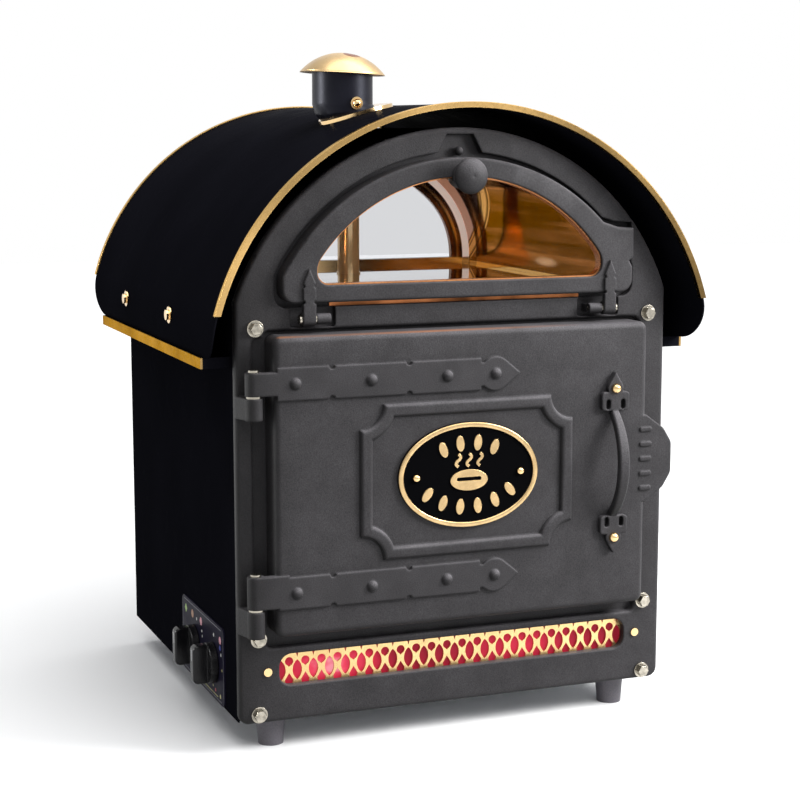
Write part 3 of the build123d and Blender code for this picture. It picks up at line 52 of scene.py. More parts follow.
# ------------------------------------------------------------------ what a user would change
class OvenFinishes(bpy.types.PropertyGroup):
    """Colours of the oven's finishes."""

    iron: bpy.props.FloatVectorProperty(
        name="Cast iron", description="Matt black of the castings", subtype="COLOR", size=3,
        min=0, max=1, default=(0.0395, 0.0375, 0.0400),
    )
    sheet: bpy.props.FloatVectorProperty(
        name="Sheet", description="Gloss paint of the canopy and the sides", subtype="COLOR", size=3,
        min=0, max=1, default=(0.0066, 0.0066, 0.0094),
    )
    brass: bpy.props.FloatVectorProperty(
        name="Brass", description="Satin brass of the edging", subtype="COLOR", size=3,
        min=0, max=1, default=(0.44, 0.28, 0.105),
    )
    polished: bpy.props.FloatVectorProperty(
        name="Polished brass", description="Bright brass of cap, knob and nuts", subtype="COLOR", size=3,
        min=0, max=1, default=(0.74, 0.52, 0.26),
    )
    nickel: bpy.props.FloatVectorProperty(
        name="Nickel", description="Plating of the front bolts", subtype="COLOR", size=3,
        min=0, max=1, default=(0.40, 0.37, 0.31),
    )
    lining: bpy.props.FloatVectorProperty(
        name="Lining", description="Copper-toned metal of the display's lining", subtype="COLOR", size=3,
        min=0, max=1, default=(0.27, 0.115, 0.042),
    )
    glow: bpy.props.FloatVectorProperty(
        name="Grille glow", description="Red of the lit screen behind the grille", subtype="COLOR",
        size=3, min=0, max=1, default=(0.72, 0.03, 0.07),
    )
    plate: bpy.props.FloatVectorProperty(
        name="Control plate", description="Blue of the control plate", subtype="COLOR", size=3,
        min=0, max=1, default=(0.0135, 0.0120, 0.0250),
    )
    grain: bpy.props.FloatProperty(
        name="Casting grain", description="Size of the grains on the castings", subtype="DISTANCE",
        unit="LENGTH", min=0.0002, max=0.01, default=0.0011,
    )


class OvenStage(bpy.types.PropertyGroup):
    """Floor, lamps and camera."""

    floor: bpy.props.FloatVectorProperty(
        name="Floor", description="Colour of the floor", subtype="COLOR", size=3, min=0, max=1,
        default=(0.95, 0.95, 0.95),
    )
    key_power: bpy.props.FloatProperty(
        name="Key lamp", description="Power of the large lamp at the front right", subtype="POWER",
        unit="POWER", min=0, default=16.0,
    )
    rim_power: bpy.props.FloatProperty(
        name="Rim lamp", description="Power of the tall lamp at the left, for sheen only",
        subtype="POWER", unit="POWER", min=0, default=32.0,
    )
    overhead: bpy.props.FloatProperty(
        name="Overhead light", description="Strength of the wide light from above", min=0, default=3.4,
    )
    surroundings: bpy.props.FloatProperty(
        name="Surroundings", description="Strength of the surroundings as a light", min=0, default=0.34,
    )
    lens: bpy.props.FloatProperty(
        name="Lens", description="Focal length", subtype="DISTANCE_CAMERA", min=20, default=83.19,
    )


# ------------------------------------------------------------------ fixed choices
IRON = ("front_casting", "oven_door", "window_frame", "door_handle", "window_knob", "catch_ball")
PINS = ("door_hinge_pins", "window_hinge_pins")
SHEETS = ("canopy", "side_panel_left", "side_panel_right", "barrel_skin")
SMALL_BRASS = (
    "chimney_ring", "chimney_screw", "handle_nuts", "badge_screws", "grille_screws", "canopy_screws",
)

# Tints of painted reflections: the copper gleam on the door's top edge, the gold highlight bands and pale
# reflection along the lining, and the rings on the rear arch.
PAINTED_GLEAM_COPPER = (0.42, 0.16, 0.055)
PAINTED_GOLD_HIGHLIGHT = (0.78, 0.46, 0.17)
PAINTED_PALE_REFLECTION = (0.66, 0.49, 0.43)
PAINTED_ARCH_GOLD = (0.80, 0.52, 0.22)
PAINTED_ARCH_PALE = (0.85, 0.68, 0.60)

YELLOW_INK = (0.50, 0.47, 0.18)
GREY_INK = (0.11, 0.11, 0.14)
INK_THICKNESS = 0.12 * MM
# Printed marks of the control plate: ink, then spots as millimetres from the plate's
# front edge, millimetres from its bottom, radius and number of sides.
MARKS = {
    "sign_green": ((0.30, 0.48, 0.10), ((139, 65, 4.6, 4),)),
    "sign_brown": ((0.38, 0.18, 0.08), ((114, 65, 4.2, 18),)),
    "sign_pink": ((0.70, 0.30, 0.36), ((82, 65, 4.4, 6), (13.3, 63.5, 4.0, 6))),
    "sign_blue": ((0.03, 0.05, 0.30), ((13.6, 56, 2.6, 16),)),
    "sign_red": ((0.45, 0.05, 0.06), ((31, 10, 2.0, 6),)),
    "print_dots": (
        (0.62, 0.63, 0.60),
        (
            (98, 63.5, 1.6, 10), (79, 56, 1.6, 10), (77.5, 51, 1.3, 10), (35.6, 63.5, 2.2, 5),
            (10.5, 50, 1.7, 10),
        ),
    ),
    "print_pips": (YELLOW_INK, ((7.4, 35.5, 1.5, 5), (39.5, 12.3, 1.4, 5), (14, 8, 2.4, 5))),
}

RIVET_RADIUS = 4 * MM

# Even shading: how near two corners count as one, and the steepest joint that still looks round.
WELD_REACH = 0.004 * MM
ROUND_BELOW = 31

# Lamps: where each stands, what it faces and how large it is; spread in degrees.
KEY_PLACE = Vector((0.85, -0.78, 0.78))
KEY_TARGET = Vector((0.08, -0.2, 0.27))
KEY_WIDTH = 0.5
RIM_PLACE = Vector((-1.7, 0.45, 0.75))
RIM_TARGET = Vector((-0.08, -0.1, 0.6))
RIM_WIDTH = 0.35
RIM_HEIGHT = 0.8
OVERHEAD_PLACE = Vector((0.25, -0.32, 1.0))
OVERHEAD_SPREAD = 85

# Camera: place in metres, turn to the right and tilt downwards in degrees, sensor width in millimetres.
CAMERA_PLACE = Vector((-0.67831, -1.79997, 0.58040))
CAMERA_YAW = 21.249
CAMERA_PITCH = 8.472
SENSOR_WIDTH = 36.0

FLOOR_REACH = 6.0


# ------------------------------------------------------------------ material building blocks
class Finish:
    """A material under construction, with short calls for the nodes it needs."""

    def __init__(self, name):
        self.material = bpy.data.materials.new(name)
        self.material.use_nodes = True
        self.tree = self.material.node_tree
        self.tree.nodes.clear()
        output = self.tree.nodes.new("ShaderNodeOutputMaterial")
        self.shader = self.tree.nodes.new("ShaderNodeBsdfPrincipled")
        self.feed(output.inputs["Surface"], self.shader.outputs[0])

    def feed(self, socket, value):
        """Gives a socket a link, a number or a colour."""
        if isinstance(value, bpy.types.NodeSocket):
            self.tree.links.new(value, socket)
        elif isinstance(value, (int, float)):
            socket.default_value = value
        else:
            socket.default_value = (*value, 1.0)

    def set(self, **sockets):
        """Feeds the shader's own sockets; underscores stand for spaces."""
        for name, value in sockets.items():
            self.feed(self.shader.inputs[name.replace("_", " ")], value)

    def coordinates(self, scale):
        """Object coordinates, stretched along the axes."""
        source = self.tree.nodes.new("ShaderNodeTexCoord")
        mapping = self.tree.nodes.new("ShaderNodeMapping")
        mapping.inputs["Scale"].default_value = scale
        self.feed(mapping.inputs["Vector"], source.outputs["Object"])
        return mapping.outputs["Vector"]

    def noise(self, size, stretch=(1, 1, 1), detail=3.0, roughness=0.55):
        """Noise whose grains are of a size in metres."""
        node = self.tree.nodes.new("ShaderNodeTexNoise")
        node.inputs["Scale"].default_value = 1.0 / size
        node.inputs["Detail"].default_value = detail
        node.inputs["Roughness"].default_value = roughness
        self.feed(node.inputs["Vector"], self.coordinates(stretch))
        return node.outputs["Fac"]

    def axis(self, letter):
        """One Object coordinate, in metres."""
        source = self.tree.nodes.new("ShaderNodeTexCoord")
        return self.parts(source.outputs["Object"])[letter]

    def parts(self, vector):
        """The X, Y and Z of a vector."""
        split = self.tree.nodes.new("ShaderNodeSeparateXYZ")
        self.feed(split.inputs[0], vector)
        return split.outputs

    def ramp(self, value, stops):
        """Colour ramp over a value; stops are positions with a colour or a grey level."""
        node = self.tree.nodes.new("ShaderNodeValToRGB")
        elements = node.color_ramp.elements
        while len(elements) < len(stops):
            elements.new(0.5)
        for element, (position, colour) in zip(elements, stops):
            element.position = position
            element.color = (colour, colour, colour, 1.0) if isinstance(colour, float) else (*colour, 1.0)
        self.feed(node.inputs["Fac"], value)
        return node.outputs["Color"]

    def bands(self, value, low, high, stops):
        """Colour ramp over a value between two places in millimetres."""
        return self.ramp(self.span(value, low * MM, high * MM), stops)

    def span(self, value, low, high, to_low=0.0, to_high=1.0, smooth=False):
        """Value from one range to another, clamped."""
        node = self.tree.nodes.new("ShaderNodeMapRange")
        node.interpolation_type = "SMOOTHSTEP" if smooth else "LINEAR"
        limits = (("From Min", low), ("From Max", high), ("To Min", to_low), ("To Max", to_high))
        for socket, number in limits:
            node.inputs[socket].default_value = number
        self.feed(node.inputs["Value"], value)
        return node.outputs["Result"]

    def math(self, operation, *values):
        """One sum on values, any of which may be a number."""
        node = self.tree.nodes.new("ShaderNodeMath")
        node.operation = operation
        for socket, value in zip(node.inputs, values):
            self.feed(socket, value)
        return node.outputs[0]

    def past(self, letter, place):
        """How far an Object coordinate is past a place."""
        return self.math("SUBTRACT", self.axis(letter), place)

    def off_middle(self, letter):
        """How far an Object coordinate is from nought, on either side."""
        return self.math("ABSOLUTE", self.axis(letter))

    def product(self, first, *others):
        """Product of numbers."""
        for other in others:
            first = self.math("MULTIPLY", first, other)
        return first

    def squares(self, first, second):
        """Sum of two squares."""
        return self.math("ADD", self.product(first, first), self.product(second, second))

    def blend(self, kind, factor, first, second):
        """Two colours joined by a Mix node of a kind."""
        node = self.tree.nodes.new("ShaderNodeMix")
        node.data_type = "RGBA"
        node.blend_type = kind
        self.feed(node.inputs["Factor"], factor)
        self.feed(node.inputs[6], first)
        self.feed(node.inputs[7], second)
        return node.outputs[2]

    def mix(self, factor, first, second):
        """Mixed colour."""
        return self.blend("MIX", factor, first, second)

    def tint(self, first, *others):
        """Product of colours."""
        for other in others:
            first = self.blend("MULTIPLY", 1.0, first, other)
        return first

    def mottle(self, noise, first, second, spread=0.2):
        """Two colours in patches that follow a noise round its middle."""
        return self.mix(self.span(noise, 0.5 - spread, 0.5 + spread), first, second)

    def rough(self, noise, low, high):
        """Roughness between two levels that follows a noise round its middle."""
        self.set(Roughness=self.span(noise, 0.3, 0.7, low, high))

    def soften(self, radius):
        """Rounds the shading of every edge; gives back the way each spot of the piece leans."""
        node = self.tree.nodes.new("ShaderNodeBevel")
        node.samples = 6
        node.inputs["Radius"].default_value = radius
        self.set(Normal=node.outputs["Normal"])
        turn = self.tree.nodes.new("ShaderNodeVectorTransform")
        turn.vector_type = "NORMAL"
        turn.convert_from = "WORLD"
        turn.convert_to = "OBJECT"
        self.feed(turn.inputs[0], node.outputs["Normal"])
        return self.parts(turn.outputs[0])

    def painted_hollow_shade(self, reach, darkest):
        """Painted shade: a darker tone in the corners and under the edges of raised work."""
        node = self.tree.nodes.new("ShaderNodeAmbientOcclusion")
        node.samples = 6
        node.only_local = True
        node.inputs["Distance"].default_value = reach
        return self.ramp(node.outputs["AO"], [(0.25, darkest), (0.8, 1.0)])

    def bump(self, height, strength, distance):
        """Bump from a height, chained onto what is there already."""
        node = self.tree.nodes.new("ShaderNodeBump")
        node.inputs["Strength"].default_value = strength
        node.inputs["Distance"].default_value = distance
        self.feed(node.inputs["Height"], height)
        before = self.shader.inputs["Normal"]
        if before.is_linked:
            self.feed(node.inputs["Normal"], before.links[0].from_socket)
        self.set(Normal=node.outputs["Normal"])


def shade(colour, amount):
    """A colour made lighter or darker."""
    return tuple(min(1.0, channel * amount) for channel in colour)


def dress(material, *names):
    """Gives CAD nodes a finish."""
    for name in names:
        node = NODES[name]
        node.data.materials.clear()
        node.data.materials.append(material)


# ------------------------------------------------------------------ mesh building blocks
def even_shading():
    """Node group that joins a CAD mesh's loose triangles and smooths all but its sharp edges."""
    tree = bpy.data.node_groups.new("even_shading", "GeometryNodeTree")
    tree.interface.new_socket("Geometry", in_out="INPUT", socket_type="NodeSocketGeometry")
    tree.interface.new_socket("Geometry", in_out="OUTPUT", socket_type="NodeSocketGeometry")
    start = tree.nodes.new("NodeGroupInput")
    end = tree.nodes.new("NodeGroupOutput")
    merge = tree.nodes.new("GeometryNodeMergeByDistance")
    merge.inputs["Distance"].default_value = WELD_REACH
    angle = tree.nodes.new("GeometryNodeInputMeshEdgeAngle")
    flat = tree.nodes.new("FunctionNodeCompare")
    flat.data_type = "FLOAT"
    flat.operation = "LESS_THAN"
    flat.inputs[1].default_value = math.radians(ROUND_BELOW)
    faces = tree.nodes.new("GeometryNodeSetShadeSmooth")
    edges = tree.nodes.new("GeometryNodeSetShadeSmooth")
    edges.domain = "EDGE"
    tree.links.new(start.outputs[0], merge.inputs["Geometry"])
    tree.links.new(merge.outputs[0], faces.inputs["Geometry"])
    tree.links.new(faces.outputs[0], edges.inputs["Geometry"])
    tree.links.new(angle.outputs["Unsigned Angle"], flat.inputs[0])
    tree.links.new(flat.outputs[0], edges.inputs["Shade Smooth"])
    tree.links.new(edges.outputs[0], end.inputs[0])
    return tree


def piece(name, mesh, material, body):
    """Makes an object of a finished bmesh, riding on a body."""
    data = bpy.data.meshes.new(name)
    bmesh.ops.recalc_face_normals(mesh, faces=mesh.faces)
    mesh.to_mesh(data)
    mesh.free()
    data.materials.append(material)
    data.shade_smooth()
    data.set_sharp_from_angle(angle=math.radians(ROUND_BELOW))
    made = bpy.data.objects.new(name, data)
    bpy.context.scene.collection.objects.link(made)
    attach(made, body)


def disc(mesh, centre, normal, radius, thickness, sides=24, bevel=0.0):
    """Adds a round button lying on a surface, its back at centre."""
    out = Vector(normal)
    turn = Vector((0, 0, 1)).rotation_difference(out).to_matrix().to_4x4()
    place = Matrix.Translation(centre) @ turn @ Matrix.Translation((0, 0, thickness / 2))
    made = bmesh.ops.create_cone(
        mesh, cap_ends=True, segments=sides, radius1=radius, radius2=radius, depth=thickness, matrix=place
    )
    if bevel:
        top = centre + out * thickness
        edges = {edge for vert in made["verts"] for edge in vert.link_edges}
        rim = [edge for edge in edges if all((vert.co - top).dot(out) > -1e-6 for vert in edge.verts)]
        bmesh.ops.bevel(mesh, geom=rim, offset=bevel, segments=3, profile=0.5, affect="EDGES", material=-1)


def bar(mesh, centre, size):
    """Adds a thin printed block along the axes."""
    place = Matrix.Translation(centre) @ Matrix.Diagonal((*size, 1.0))
    bmesh.ops.create_cube(mesh, size=1.0, matrix=place)


# ------------------------------------------------------------------ finishes used by several pieces
def metal(name, colour, rough, stretch=(1, 1, 1), grain=0.0025, depth=0.00005, tarnish=0.8, metallic=1.0):
    """Metal with fine lines and a patchy tarnish."""
    finish = Finish(name)
    finish.set(Metallic=metallic)
    lines = finish.noise(grain, stretch, detail=3.0)
    patch = finish.noise(0.045, detail=2.0)
    finish.set(Base_Color=finish.mottle(patch, shade(colour, tarnish), shade(colour, 1.06), spread=0.18))
    finish.rough(lines, rough * 0.75, rough * 1.3)
    finish.bump(lines, 0.25, depth)
    return finish.material


def moulded(name, colour, rough=0.5, grain=0.0011, depth=0.00012, gloss=0.5, edge=0.0):
    """Plastic, ink or wool with a fine texture; edge rounds the shading of its edges."""
    finish = Finish(name)
    if edge:
        finish.soften(edge)
    texture = finish.noise(grain, detail=2.0)
    tone = finish.mottle(texture, shade(colour, 0.85), shade(colour, 1.15))
    finish.set(Base_Color=tone, Specular_IOR_Level=gloss)
    finish.rough(finish.noise(0.02), rough * 0.85, rough * 1.1)
    finish.bump(texture, 0.3, depth)
    return finish.material


def gloss_sheet(colour):
    """Smooth dark paint with a very slight wave."""
    finish = Finish("gloss_navy_enamel")
    tone = finish.mottle(finish.noise(0.11, detail=1.5), shade(colour, 0.9), shade(colour, 1.14))
    # Hardly any sheen, because the white surroundings would turn so dark a paint grey.
    finish.set(Base_Color=tone, Specular_IOR_Level=0.00002)
    finish.rough(finish.noise(0.03), 0.2, 0.3)
    finish.bump(finish.noise(0.0035, detail=1.0), 0.06, 0.0002)
    return finish.material


def glass(name, tint):
    """Clear glass; its index is near that of air, so that a pane mirrors and bends little."""
    finish = Finish(name)
    finish.set(Base_Color=tint, Transmission_Weight=1.0, IOR=1.06, Roughness=0.0)
    return finish.material


def glowing(name, colour, strength):
    """Lit glass of a lamp."""
    finish = Finish(name)
    finish.set(Base_Color=colour, Emission_Color=colour, Emission_Strength=strength, Roughness=0.4)
    return finish.material


# ------------------------------------------------------------------ finishes of one group of pieces
def cast_iron(colour, grain):
    """Grainy black iron with painted light and shade (by how it leans, in its hollows and at the left edge),
    and a painted copper reflection on the top edge of the oven door.
    """
    finish = Finish("cast_iron_matt_black")
    finish.set(Metallic=0.0, Specular_IOR_Level=0.17)
    fine = finish.noise(grain, detail=4.0, roughness=0.7)
    broad = finish.noise(30 * grain, detail=2.0)
    tone = finish.mottle(broad, shade(colour, 0.84), shade(colour, 1.12), spread=0.15)
    speck = finish.ramp(fine, [(0.30, 0.50), (0.52, 1.0), (0.72, 1.45)])
    # Painted light and shade: paler where the surface leans upwards, a little paler where it leans right,
    # darker where it leans downwards and where it leans left.
    lean = finish.soften(2.6 * MM)
    steep = 0.7
    up = finish.ramp(
        finish.span(lean["Z"], -steep, steep),
        [(0.0, 0.35), (0.42, 0.9), (0.5, 1.0), (0.62, 1.4), (1.0, 2.8)],
    )
    across = finish.ramp(
        finish.span(lean["X"], -steep, steep), [(0.0, 0.5), (0.44, 0.96), (0.56, 1.0), (1.0, 1.25)]
    )
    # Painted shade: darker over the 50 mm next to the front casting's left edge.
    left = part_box("front_casting")[0].x
    edge = finish.ramp(
        finish.span(finish.axis("X"), left, left + 50 * MM), [(0.0, 0.42), (0.5, 0.75), (1.0, 1.0)]
    )
    # Painted shade in the hollows, together with the painted light and shade by lean and by place.
    tone = finish.tint(tone, speck, finish.painted_hollow_shade(4 * MM, 0.25), up, across, edge)
    # Painted reflection: copper colour along the door's top edge.
    finish.set(Base_Color=finish.mix(painted_door_gleam(finish), tone, PAINTED_GLEAM_COPPER))
    finish.rough(fine, 0.42, 0.64)
    finish.bump(broad, 0.3, 0.0014)
    finish.bump(fine, 0.75, 0.00045)
    return finish.material


def painted_door_gleam(finish):
    """Strength of the painted reflection of the copper strip on the door's top edge, nought elsewhere."""
    low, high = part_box("oven_door")
    height = finish.axis("Z")
    above = finish.span(height, high.z - 1.8 * MM, high.z - 0.6 * MM)
    below = finish.span(height, high.z + 1.2 * MM, high.z + 0.4 * MM)
    front = finish.span(finish.axis("Y"), low.y + 16 * MM, low.y + 10 * MM)
    along = finish.bands(finish.axis("X"), -190, 120, [(0.0, 0.8), (0.12, 0.25), (0.5, 0.7), (1.0, 0.0)])
    return finish.product(above, below, front, along)


def chimney_paint():
    """Satin black of the chimney, a little blue in its sheen."""
    finish = Finish("satin_black_pipe")
    patch = finish.noise(0.02)
    tone = finish.mottle(patch, (0.0055, 0.0055, 0.0095), (0.009, 0.009, 0.0145))
    finish.set(Base_Color=tone, Specular_IOR_Level=0.16, Specular_Tint=(0.80, 0.83, 1.0))
    finish.rough(patch, 0.34, 0.44)
    finish.bump(finish.noise(0.0012), 0.15, 0.0001)
    return finish.material


def edging(colour):
    """Satin brass in light and dark runs, with painted shade towards the right."""
    finish = Finish("brass_satin_edging")
    finish.set(Metallic=1.0, Specular_Tint=(0.92, 0.78, 0.52))
    runs = finish.mottle(finish.noise(0.16, detail=1.5), shade(colour, 0.72), shade(colour, 1.3), spread=0.12)
    # Painted shade: darker towards the right end.
    painted_right_shade = finish.bands(finish.axis("X"), -50, 240, [(0.0, 1.15), (0.3, 1.1), (0.55, 0.5), (1.0, 0.32)])
    finish.set(Base_Color=finish.tint(runs, painted_right_shade))
    lines = finish.noise(0.0035, detail=3.0)
    finish.rough(lines, 0.25, 0.32)
    finish.soften(1.0 * MM)
    finish.bump(lines, 0.06, 0.00002)
    return finish.material


def rail_finish(colour, paint):
    """Brass along the outer face of a rail; the rest takes the dark sheet colour as painted shade."""
    finish = Finish("brass_rail_and_painted_shade")
    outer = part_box("canopy_rail_right")[1].x
    brass = finish.span(finish.off_middle("X"), outer - 2.4 * MM, outer - 1.8 * MM)
    tone = finish.mottle(finish.noise(0.05, detail=2.0), shade(colour, 0.7), shade(colour, 1.2), spread=0.18)
    # Painted shade: all but the outer face is given the dark sheet colour in place of brass.
    finish.set(
        Base_Color=finish.mix(brass, paint, tone),
        Metallic=brass,
        Specular_IOR_Level=finish.span(brass, 0.0, 1.0, 0.0, 0.5),
        Specular_Tint=(0.70, 0.46, 0.18),
    )
    finish.rough(finish.noise(0.0035), 0.25, 0.38)
    return finish.material


def polished_lining(colour):
    """Brown polished lining with painted reflections: a pale reflection towards the back, gold highlight
    bands between, painted highlight streaks, a highlight along the floor joint and a warm lamp reflection low
    on each side.
    """
    finish = Finish("polished_lining")
    finish.set(Metallic=1.0, Specular_Tint=(0.62, 0.46, 0.36))
    low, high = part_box("display_liner")
    # The painted highlight bands lean forwards as they rise, by this much depth for each height.
    slope = 1.45
    rise = finish.product(finish.past("Z", low.z + 20 * MM), slope)
    run = finish.math("ADD", finish.past("Y", high.y - 60 * MM), rise)
    # Painted reflections: gold highlight bands with dark bands between, and a pale reflection towards the
    # back.
    dark = shade(colour, 0.42)
    painted_highlight_bands = finish.bands(run, 0, 100, [
        (0.0, colour), (0.28, shade(colour, 0.8)), (0.30, PAINTED_GOLD_HIGHLIGHT), (0.34, dark), (0.40, PAINTED_GOLD_HIGHLIGHT),
        (0.50, PAINTED_GOLD_HIGHLIGHT), (0.52, dark), (0.56, PAINTED_GOLD_HIGHLIGHT), (0.60, dark), (0.64, PAINTED_PALE_REFLECTION),
        (1.0, shade(PAINTED_PALE_REFLECTION, 1.1)),
    ])
    patch = finish.noise(0.05, (1, 0.3, 1), detail=2.0)
    brown = finish.mottle(patch, shade(colour, 0.6), shade(colour, 1.35))
    # Painted highlight streaks along the depth.
    line = finish.noise(0.014, (1, 0.04, 1), detail=3.0)
    lines = finish.ramp(line, [(0.36, 0.55), (0.52, 1.0), (0.66, 1.9)])
    behind = finish.span(run, 26 * MM, 28 * MM)
    tone = finish.mix(behind, finish.tint(brown, lines), painted_highlight_bands)
    # Painted highlight: a bright gold line along the joint with the floor.
    painted_joint_highlight = finish.span(finish.axis("Z"), low.z + 3.5 * MM, low.z + 2.5 * MM)
    tone = finish.mix(painted_joint_highlight, tone, PAINTED_GOLD_HIGHLIGHT)
    # Painted reflection of the lamp: a soft warm patch low on each side wall, an ellipse of these half sizes.
    along = finish.math("DIVIDE", finish.past("Y", high.y - 213 * MM), 34 * MM)
    above = finish.math("DIVIDE", finish.past("Z", low.z + 15 * MM), 6 * MM)
    warm = finish.span(finish.squares(along, above), 0.0, 1.0, 0.85, 0.0, smooth=True)
    finish.set(Base_Color=finish.mix(warm, tone, (0.80, 0.48, 0.26)))
    finish.rough(finish.noise(0.008, (1, 0.05, 1)), 0.05, 0.10)
    finish.bump(finish.noise(0.03, (1, 0.2, 1), detail=1.0), 0.1, 0.0006)
    return finish.material


def arch_frame(rail, arch):
    """Bright brass along the base of the rear frame; painted reflections over its arch: dark, brown and gold
    bands and a pale band that glows.
    """
    finish = Finish("brass_arch_frame")
    low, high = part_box("rear_arch_frame")
    # The painted reflection bands follow a circle about each shoulder of the arch.
    shoulder = high.x - 113.5 * MM
    across = finish.math("SUBTRACT", finish.off_middle("X"), shoulder)
    reach = finish.math("SQRT", finish.squares(across, finish.past("Z", low.z + 9 * MM)))
    dark = shade(arch, 0.30)
    painted_reflection_rings = finish.bands(reach, 90, 114, [
        (0.0, dark), (0.12, shade(arch, 1.2)), (0.26, dark), (0.38, PAINTED_ARCH_GOLD), (0.46, shade(arch, 0.9)),
        (0.58, dark), (0.64, PAINTED_ARCH_PALE), (1.0, PAINTED_ARCH_PALE),
    ])
    height = finish.span(finish.axis("Z"), low.z + 6 * MM, low.z + 8 * MM)
    # Painted light: the pale band is not metal and glows a little.
    pale_from, pale_to = 104.6 * MM, 105.4 * MM
    finish.set(
        Base_Color=finish.mix(height, shade(rail, 1.25), painted_reflection_rings),
        Metallic=finish.math(
            "MAXIMUM",
            finish.span(reach, pale_from, pale_to, 1.0, 0.0),
            finish.span(height, 0.0, 1.0, 0.55, 0.0),
        ),
        Emission_Color=PAINTED_ARCH_PALE,
        Emission_Strength=finish.product(finish.span(reach, pale_from, pale_to, 0.0, 0.45), height),
    )
    finish.rough(finish.noise(0.03, detail=2.0), 0.14, 0.24)
    finish.bump(finish.noise(0.004), 0.2, 0.00004)
    return finish.material


def spun_cap(colour):
    """Polished brass with a brown stain in the dimple near the top, and painted shade towards its left side.
    """
    finish = Finish("brass_spun_cap")
    low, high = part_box("chimney_cap")
    centre = (low + high) / 2
    across = finish.past("X", centre.x + 5 * MM)
    along = finish.past("Y", centre.y - 13 * MM)
    reach = finish.math("SQRT", finish.squares(across, along))
    top = finish.span(finish.axis("Z"), high.z - 5 * MM, high.z - 4 * MM)
    stain = finish.product(finish.span(reach, 8.8 * MM, 7.6 * MM), top)
    patch = finish.noise(0.03, detail=2.0)
    tone = finish.mottle(patch, shade(colour, 0.82), shade(colour, 1.08), spread=0.18)
    # Painted shade: darker towards the left.
    side = finish.span(finish.axis("X"), centre.x - 48 * MM, centre.x, 0.62, 1.0)
    finish.set(Base_Color=finish.mix(stain, finish.tint(tone, side), (0.30, 0.095, 0.035)), Metallic=1.0)
    finish.rough(finish.noise(0.012), 0.26, 0.38)
    finish.bump(finish.noise(0.02, detail=1.0), 0.2, 0.0009)
    return finish.material


def bolt_plating(colour):
    """Patchy nickel, with painted shade in the corners between the bolt heads and their washers."""
    finish = Finish("nickel_plate")
    patch = finish.noise(0.006, detail=2.0)
    tone = finish.ramp(patch, [(0.35, shade(colour, 0.55)), (0.65, shade(colour, 1.15))])
    # Painted shade in the corners between head and washer.
    finish.set(Base_Color=finish.tint(tone, finish.painted_hollow_shade(3 * MM, 0.12)), Metallic=1.0)
    finish.soften(0.6 * MM)
    finish.rough(finish.noise(0.002), 0.16, 0.26)
    return finish.material


def red_screen(colour):
    """Red screen whose glow is painted light standing in for the tube behind it, with a bright spot near its
    left end and a weaker one past its middle.
    """
    finish = Finish("red_screen")
    low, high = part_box("grille_diffuser")
    # Painted light: glowing spots where the tube behind shines through.
    spots = []
    for place, half_width, strength in ((62 * MM, 70 * MM, 1.0), (255 * MM, 85 * MM, 0.42)):
        away = finish.math("ABSOLUTE", finish.past("X", low.x + place))
        spots.append(finish.span(away, 0.0, half_width, strength, 0.0, smooth=True))
    away = finish.math("ABSOLUTE", finish.past("Z", (low.z + high.z) / 2 - 3 * MM))
    band = finish.span(away, 4 * MM, 15 * MM, 1.0, 0.25, smooth=True)
    cloudy = finish.span(finish.noise(0.02, detail=2.0), 0.3, 0.7, 0.7, 1.15)
    lit = finish.product(finish.math("MAXIMUM", *spots), band, cloudy)
    tone = finish.ramp(lit, [
        (0.0, shade(colour, 0.26)), (0.35, shade(colour, 0.75)), (0.75, (0.85, 0.07, 0.13)),
        (1.0, (0.98, 0.36, 0.44)),
    ])
    # The glow is emission on the screen itself, painted light in place of the tube's light passing through.
    finish.set(
        Base_Color=shade(colour, 0.3), Roughness=0.35, Specular_IOR_Level=0.1, Emission_Color=tone,
        Emission_Strength=0.8,
    )
    return finish.material


def plate_paint(colour):
    """Dark blue film of the control plate."""
    finish = Finish("control_plate_blue")
    patch = finish.noise(0.015)
    tone = finish.mottle(patch, shade(colour, 0.8), shade(colour, 1.15))
    finish.set(Base_Color=tone, Specular_IOR_Level=0.012)
    finish.rough(patch, 0.28, 0.4)
    return finish.material


def badge_enamel(colour):
    """Brass on the badge's raised work, black enamel on its ground, and painted shade round the raised work.
    """
    finish = Finish("badge_brass_and_enamel")
    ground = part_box("badge")[1].y - 2.2 * MM
    raised = finish.span(finish.axis("Y"), ground - 0.35 * MM, ground - 0.15 * MM, 1.0, 0.0)
    tone = finish.mottle(finish.noise(0.012), shade(colour, 0.74), shade(colour, 1.04))
    # Painted shade in the corners round the raised work.
    tone = finish.tint(tone, finish.painted_hollow_shade(2.4 * MM, 0.25))
    finish.set(
        Base_Color=finish.mix(raised, (0.003, 0.003, 0.0035), tone),
        Metallic=raised,
        Specular_IOR_Level=finish.span(raised, 0.0, 1.0, 0.0, 0.5),
        Roughness=finish.span(raised, 0.0, 1.0, 0.22, 0.27),
    )
    finish.soften(1.1 * MM)
    finish.bump(finish.noise(0.0018), 0.15, 0.00012)
    return finish.material


# ------------------------------------------------------------------ operators
class OvenOperator(bpy.types.Operator):
    """Common part of the oven's operators."""

    bl_options = {"REGISTER", "UNDO"}

    @property
    def finishes(self):
        """The colours that the user has set."""
        return bpy.context.scene.oven_finishes


class OVEN_OT_castings(OvenOperator):
    """Matt black iron on the front, the door, the window frame and the handle."""

    bl_idname = "oven.castings"
    bl_label = "Castings"

    def execute(self, context):
        dress(cast_iron(self.finishes.iron, self.finishes.grain), *IRON)
        dress(metal("hinge_pin_nickel", self.finishes.nickel, 0.22, tarnish=0.6), *PINS)
        return {"FINISHED"}


